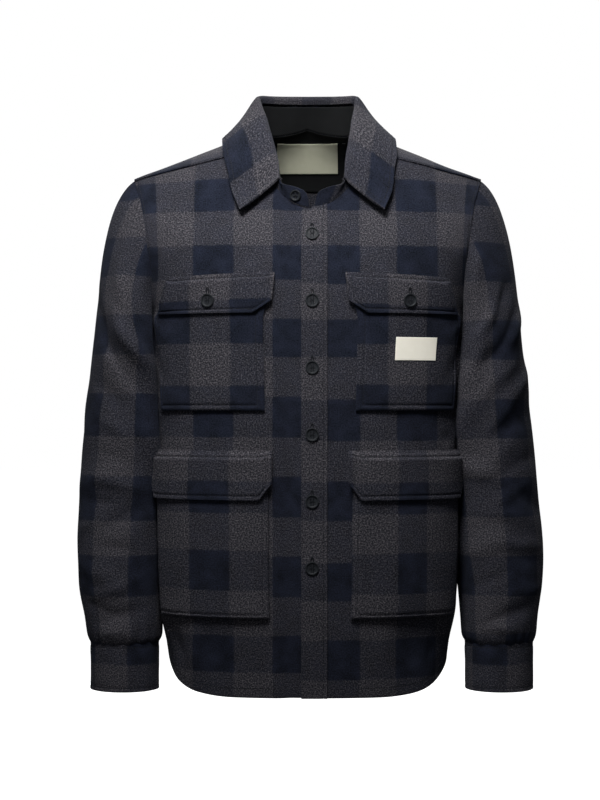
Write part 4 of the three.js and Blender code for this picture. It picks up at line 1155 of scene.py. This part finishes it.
def sewRows(name, lines):
    spots, faces = [], []
    for points, normals in lines:
        run = np.concatenate([[0], np.cumsum(np.linalg.norm(np.diff(points, axis=0), axis=1))])
        marks = np.arange(stitch["pitch"] / 2, run[-1], stitch["pitch"])
        middle = readLine(marks, run, points)
        up = unit(readLine(marks, run, normals))
        along = unit(readLine(marks + 0.5, run, points) - readLine(marks - 0.5, run, points))
        sideways = unit(np.cross(up, along))
        for i in range(len(marks)):
            turn = np.stack([along[i], sideways[i], up[i]])
            base = sum(len(block) for block in spots)
            spots.append(loopSpots @ turn + middle[i] - up[i] * stitch["sink"])
            faces.extend(tuple(base + corner for corner in face) for face in loopFaces)
    mesh = bpy.data.meshes.new(name)
    mesh.from_pydata((np.concatenate(spots) * millimetre).tolist(), [], faces)
    mesh.shade_smooth()
    piece = bpy.data.objects.new(name, mesh)
    bpy.context.scene.collection.objects.link(piece)
    dress(piece, thread, "checked_wool")


def clothLine(shape, parts, ups):
    return shape(parts, ups)[:2]


def evenly(start, end, count=200):
    return np.linspace(start, end, count)


# Where the rows run on the body: how far out, how high over the hem, and between which places
seams = {
    "out": 0.97, "armholeOut": 0.972, "hemUp": 13, "hemStart": {-1: 0.1, 1: 0.17},
    "armhole": [(7.6, 12.9), (13.1, 15.85), (16.15, 20.4)], "band": (0.25, 11.3),
}
lines = []
for side in (-1, 1):
    begin = float(necklineAt(side, yokeTurn)[1])
    across = evenly(begin + 0.02, seams["out"], 120)
    lines.append(onBody(side, float(frontYokeRow) - 0.005, across, yoke["step"]))
across = evenly(-seams["out"], seams["out"], 400)
lines.append(onBody(np.where(across < 0, -1, 1), backYokeRow + 0.01, np.abs(across), yoke["step"]))
sewRows("yoke_stitches", lines)

lines = [onBody(side, evenly(*ends), seams["armholeOut"], 0) for side in (-1, 1) for ends in seams["armhole"]]
sewRows("armhole_stitches", lines)

lines = []
for side in (-1, 1):
    across = evenly(seams["hemStart"][side], seams["out"], 300)
    height = section("z", hemPlace(across, True)) + seams["hemUp"]
    lines.append(onBody(side, frontPlace(height), across, 0))
across = evenly(-seams["out"], seams["out"], 500)
height = section("z", hemPlace(across, False)) + seams["hemUp"]
lines.append(onBody(np.where(across < 0, -1, 1), backPlace(height), np.abs(across), 0))
sewRows("hem_stitches", lines)

bandPlaces = evenly(*seams["band"], 600)
lift = layers["gap"] + layers["band"] - band["grooveDepth"]
sewRows("band_stitches", [onBody(1, bandPlaces, acrossAt(bandPlaces, band["stitch"]), lift)])

for pocketName, pocket in pockets.items():
    lines = []
    for side in (-1, 1):
        wide, high = pocketSize(side, pocket, "bag")
        inX, low = pocket["bagStitch"] / wide, 1 - pocket["bagStitch"] / high
        route = [(inX, 0.1), (inX, low), (1 - inX, low), (1 - inX, 0.1)]
        for (x0, y0), (x1, y1) in zip(route, route[1:]):
            lines.append(clothLine(bagShape(side, pocket, pocketName), evenly(x0, x1), 1 - evenly(y0, y1)))
        wide, high = pocketSize(side, pocket, "flap")
        top, inX = pocket["flapStitch"] / high, flapEdgeStitch / wide
        clipPart = pocket["clip"][0] / wide
        clipLow = 1 - flapEdgeStitch / (high - pocket["clip"][1])
        low = 1 - flapEdgeStitch / high
        route = [(inX, top), (inX, clipLow), (clipPart + 0.2 * inX, low), (1 - clipPart - 0.2 * inX, low),
                 (1 - inX, clipLow), (1 - inX, top), (inX, top)]
        knots, shares = [0, clipPart, 1 - clipPart, 1], [0, clipShare, 1 - clipShare, 1]
        for (x0, y0), (x1, y1) in zip(route, route[1:]):
            parts = np.interp(evenly(x0, x1, 120), knots, shares)
            lines.append(clothLine(flapShape(side, pocket), parts, 1 - evenly(y0, y1, 120)))
    sewRows(f"{pocketName}_pocket_stitches", lines)

lines = []
for side in (-1, 1):
    for height in (cuff["stitch"], cuffHigh - cuff["stitch"]):
        lines.append(clothLine(cuffShape(side), evenly(0.005, 0.995, 400), np.full(400, height / cuffHigh)))
sewRows("cuff_stitches", lines)

leafRow = {"up": 0.925, "ends": (0.02, 0.98), "sides": (0.013, 0.987), "sideStart": 0.42}
lines = [clothLine(leafShape, evenly(*leafRow["ends"], 500), np.full(500, leafRow["up"]))]
for part in leafRow["sides"]:
    lines.append(clothLine(leafShape, np.full(60, part), evenly(leafRow["sideStart"], leafRow["up"], 60)))
sewRows("collar_stitches", lines)
print("stitches sewn")

# Buttons: a turned disc with a raised rim and a dish, four drilled holes and two bars of thread
button = {
    "radius": 9.0, "smallRadius": 7.5, "high": 3.2, "rim": 1.6, "dish": 1.4, "dishSlope": 0.8,
    "floorShare": 0.25, "rounding": 0.45, "holeRadius": 1.35, "holeSpread": 2.15, "drillLong": 12,
    "barWide": 0.8, "barLong": 2.5, "barHigh": 1.1, "seat": 0.7, "cuffSeat": 0.1,
    "first": -100.5, "step": 89.1, "count": 6,
}


def modelButton(radius):
    bpy.ops.object.select_all(action="DESELECT")
    high = button["high"] * millimetre
    bpy.ops.mesh.primitive_cylinder_add(
        vertices=44, radius=radius * millimetre, depth=high, location=(0, 0, high / 2))
    disc = bpy.context.active_object
    editMesh("DESELECT")
    bpy.ops.object.mode_set(mode="OBJECT")
    for face in disc.data.polygons:
        face.select = face.normal.z > 0.9
    bpy.ops.object.mode_set(mode="EDIT")
    bpy.ops.mesh.inset(thickness=button["rim"] * millimetre)
    bpy.ops.mesh.inset(thickness=button["dishSlope"] * millimetre, depth=-button["dish"] * millimetre)
    bpy.ops.mesh.inset(thickness=radius * button["floorShare"] * millimetre)
    bpy.ops.object.mode_set(mode="OBJECT")
    rounded = disc.modifiers.new("rounded", "BEVEL")
    rounded.width = button["rounding"] * millimetre
    rounded.segments = 3
    rounded.angle_limit = math.radians(35)
    bpy.ops.object.modifier_apply(modifier=rounded.name)
    for x in (-1, 1):
        for y in (-1, 1):
            bpy.ops.mesh.primitive_cylinder_add(
                vertices=16, radius=button["holeRadius"] * millimetre, depth=button["drillLong"] * millimetre,
                location=(x * button["holeSpread"] * millimetre, y * button["holeSpread"] * millimetre, 0))
            drill = bpy.context.active_object
            bpy.ops.object.select_all(action="DESELECT")
            bpy.context.view_layer.objects.active = disc
            hole = disc.modifiers.new("hole", "BOOLEAN")
            hole.operation = "DIFFERENCE"
            hole.object = drill
            bpy.ops.object.modifier_apply(modifier=hole.name)
            bpy.data.objects.remove(drill)
    disc.select_set(True)
    bpy.ops.object.shade_smooth_by_angle(angle=math.radians(40))
    disc.data.materials.append(resin)
    bars = []
    for x in (-1, 1):
        bpy.ops.object.select_all(action="DESELECT")
        bpy.ops.mesh.primitive_uv_sphere_add(
            segments=12, ring_count=8, radius=0.5 * millimetre, location=(0, 0, 0))
        bar = bpy.context.active_object
        editMesh("SELECT")
        bpy.ops.transform.resize(
            value=(button["barWide"], button["barLong"] * button["holeSpread"], button["barHigh"]))
        bpy.ops.transform.rotate(value=x * math.pi / 4, orient_axis="Z", center_override=(0, 0, 0))
        bpy.ops.transform.translate(value=(0, 0, (button["high"] - button["dish"]) * millimetre))
        bpy.ops.object.mode_set(mode="OBJECT")
        bpy.ops.object.shade_smooth()
        bar.data.materials.append(thread)
        bars.append(bar)
    bpy.ops.object.select_all(action="DESELECT")
    for bar in bars:
        bar.select_set(True)
    disc.select_set(True)
    bpy.context.view_layer.objects.active = disc
    bpy.ops.object.join()
    return disc


# A frame on the cloth: x level, y up the cloth, z out of it
def clothFrame(point, normal):
    outward = Vector(normal).normalized()
    level = Vector((0, 0, 1)).cross(outward).normalized()
    upward = outward.cross(level)
    turned = Matrix((level, upward, outward)).transposed().to_4x4()
    return Matrix.Translation(Vector(point) * millimetre) @ turned


def sewOn(name, pattern, seat, up, out, slotName, *nodes):
    point, normal = (np.asarray(value).reshape(3) for value in seat)
    piece = bpy.data.objects.new(name, pattern.data.copy())
    bpy.context.scene.collection.objects.link(piece)
    offset = Matrix.Translation((0, up * millimetre, out * millimetre))
    piece.data.transform(clothFrame(point, normal) @ offset)
    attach(piece, "root")
    if nodes:
        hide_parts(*nodes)


def sewButton(name, node, pattern, seat, out):
    sewOn(name, pattern, seat, 0, out, "button_resin", node)


# Buttonhole: a long ring of close thread round a slit
buttonhole = {"half": 11.0, "wide": 1.5, "cord": 0.75, "lift": 0.4, "frontUp": 3.5, "flapUp": 6.0}


def modelButtonhole():
    bpy.ops.object.select_all(action="DESELECT")
    bpy.ops.mesh.primitive_torus_add(
        major_segments=32, minor_segments=8, major_radius=buttonhole["wide"] * millimetre,
        minor_radius=buttonhole["cord"] * millimetre)
    ring = bpy.context.active_object
    for vertex in ring.data.vertices:
        vertex.co.y += math.copysign(buttonhole["half"] - buttonhole["wide"], vertex.co.y) * millimetre
    bpy.ops.object.shade_smooth()
    ring.data.materials.append(thread)
    return ring


def sewButtonhole(name, pattern, seat, up):
    sewOn(name, pattern, seat, up, buttonhole["lift"], "checked_wool")


largeButton = modelButton(button["radius"])
smallButton = modelButton(button["smallRadius"])
holeRing = modelButtonhole()
for index in range(button["count"]):
    place = np.array([frontPlace(button["first"] - index * button["step"])])
    seat = onBody(1, place, acrossAt(place, neckline["frontCentre"]), layers["gap"] + layers["band"])
    sewButton(f"front_button_{index + 1}", f"button_{index + 1}", largeButton, seat, button["seat"])
    sewButtonhole(f"front_buttonhole_{index + 1}", holeRing, seat, buttonhole["frontUp"])
for side, which in sideNames.items():
    seat = flapSpot(side, pockets["chest"], np.array([0.46]), np.array([0.66]))[0]
    sewButton(f"chest_button_{which}", f"flap_button_{which}", largeButton, seat, button["seat"])
    sewButtonhole(f"chest_buttonhole_{which}", holeRing, seat, buttonhole["flapUp"])
    seat = cuffSpot(side, np.array([0.5]), np.array([1 - 0.25 * cuff["lap"]]))
    sewButton(f"wrist_button_{which}", f"cuff_button_{which}", smallButton, seat, button["cuffSeat"])
standSeat = standShape(0)(np.array([(1 - 0.92 / collar["standEnd"]) / 2]), np.array([0.5]))[:2]
sewButton("collar_button", "button_stand", smallButton, standSeat, button["seat"])
for pattern in (largeButton, smallButton, holeRing):
    bpy.data.objects.remove(pattern)
print("buttons sewn on")

print("all pieces made")

# Floor, light and camera
studio = {
    "floorDrop": 0.42, "floorSize": 40, "floorGlow": 0.97, "floorColour": "#d8d8d6",
    "skyColour": "#ffffff", "worldColour": "#e9edf5", "worldStrength": 0.1,
    "cameraPlace": (-0.0106, -2.70, -0.322), "focalPixels": 1932, "pictureHigh": 800, "sensorHigh": 24,
}
bpy.ops.object.select_all(action="DESELECT")
bpy.ops.mesh.primitive_plane_add(size=studio["floorSize"], location=(0, 0, 0))
floor = bpy.context.active_object
floor.name = "floor"
floor.data.transform(Matrix.Translation((0, 0, cadBox[0][2] - studio["floorDrop"])))
floorMaterial, floorTree = startMaterial("matt white studio floor, lit from below")
finishMaterial(floorTree, {
    "Base Color": linear(studio["floorColour"]), "Roughness": 0.9, "Specular IOR Level": 0.1,
    "Emission Color": [1, 1, 1, 1], "Emission Strength": studio["floorGlow"]})
floor.data.materials.append(floorMaterial)
floor.visible_diffuse = floor.visible_glossy = False

lights = {
    "key": {"place": (-0.16, -0.92, 0.86), "aim": (-0.03, -0.12, -0.07), "size": 0.6, "spread": 70,
            "power": 6.0},
    "fill": {"place": (-1.4, -2.1, 0.5), "aim": (-0.1, 0, -0.2), "size": 1.6, "spread": 120, "power": 2},
    "back": {"place": (0.2, 1.9, 1.9), "aim": (0, 0.2, -0.4), "size": 3.2, "spread": 150, "power": 60},
}
for lightName, light in lights.items():
    lamp = bpy.data.lights.new(lightName, "AREA")
    lamp.shape = "DISK"
    lamp.size = light["size"]
    lamp.spread = math.radians(light["spread"])
    lamp.energy = light["power"]
    lampObject = bpy.data.objects.new(lightName, lamp)
    lampObject.location = light["place"]
    aim = Vector(light["aim"]) - Vector(light["place"])
    lampObject.visible_camera = False
    lampObject.rotation_euler = aim.to_track_quat("-Z", "Y").to_euler()
    bpy.context.scene.collection.objects.link(lampObject)

world = bpy.data.worlds.new("studio")
world.use_nodes = True
world.node_tree.nodes.clear()
path = addNode(world.node_tree, "ShaderNodeLightPath", {})
soft = addNode(world.node_tree, "ShaderNodeBackground", {
    "Color": linear(studio["worldColour"]), "Strength": studio["worldStrength"]})
seen = addNode(world.node_tree, "ShaderNodeBackground", {"Color": linear(studio["skyColour"])})
both = addNode(world.node_tree, "ShaderNodeMixShader", {
    0: path.outputs["Is Camera Ray"], 1: soft.outputs[0], 2: seen.outputs[0]})
addNode(world.node_tree, "ShaderNodeOutputWorld", {"Surface": both.outputs[0]})
bpy.context.scene.world = world
bpy.context.scene.view_settings.view_transform = "Standard"

cameraData = bpy.data.cameras.new("camera")
cameraData.sensor_fit = "VERTICAL"
cameraData.sensor_height = studio["sensorHigh"]
cameraData.lens = studio["focalPixels"] * studio["sensorHigh"] / studio["pictureHigh"]
camera = bpy.data.objects.new("camera", cameraData)
camera.location = studio["cameraPlace"]
camera.rotation_euler = (math.pi / 2, 0, 0)
bpy.context.scene.collection.objects.link(camera)
bpy.context.scene.camera = camera
print("studio set")
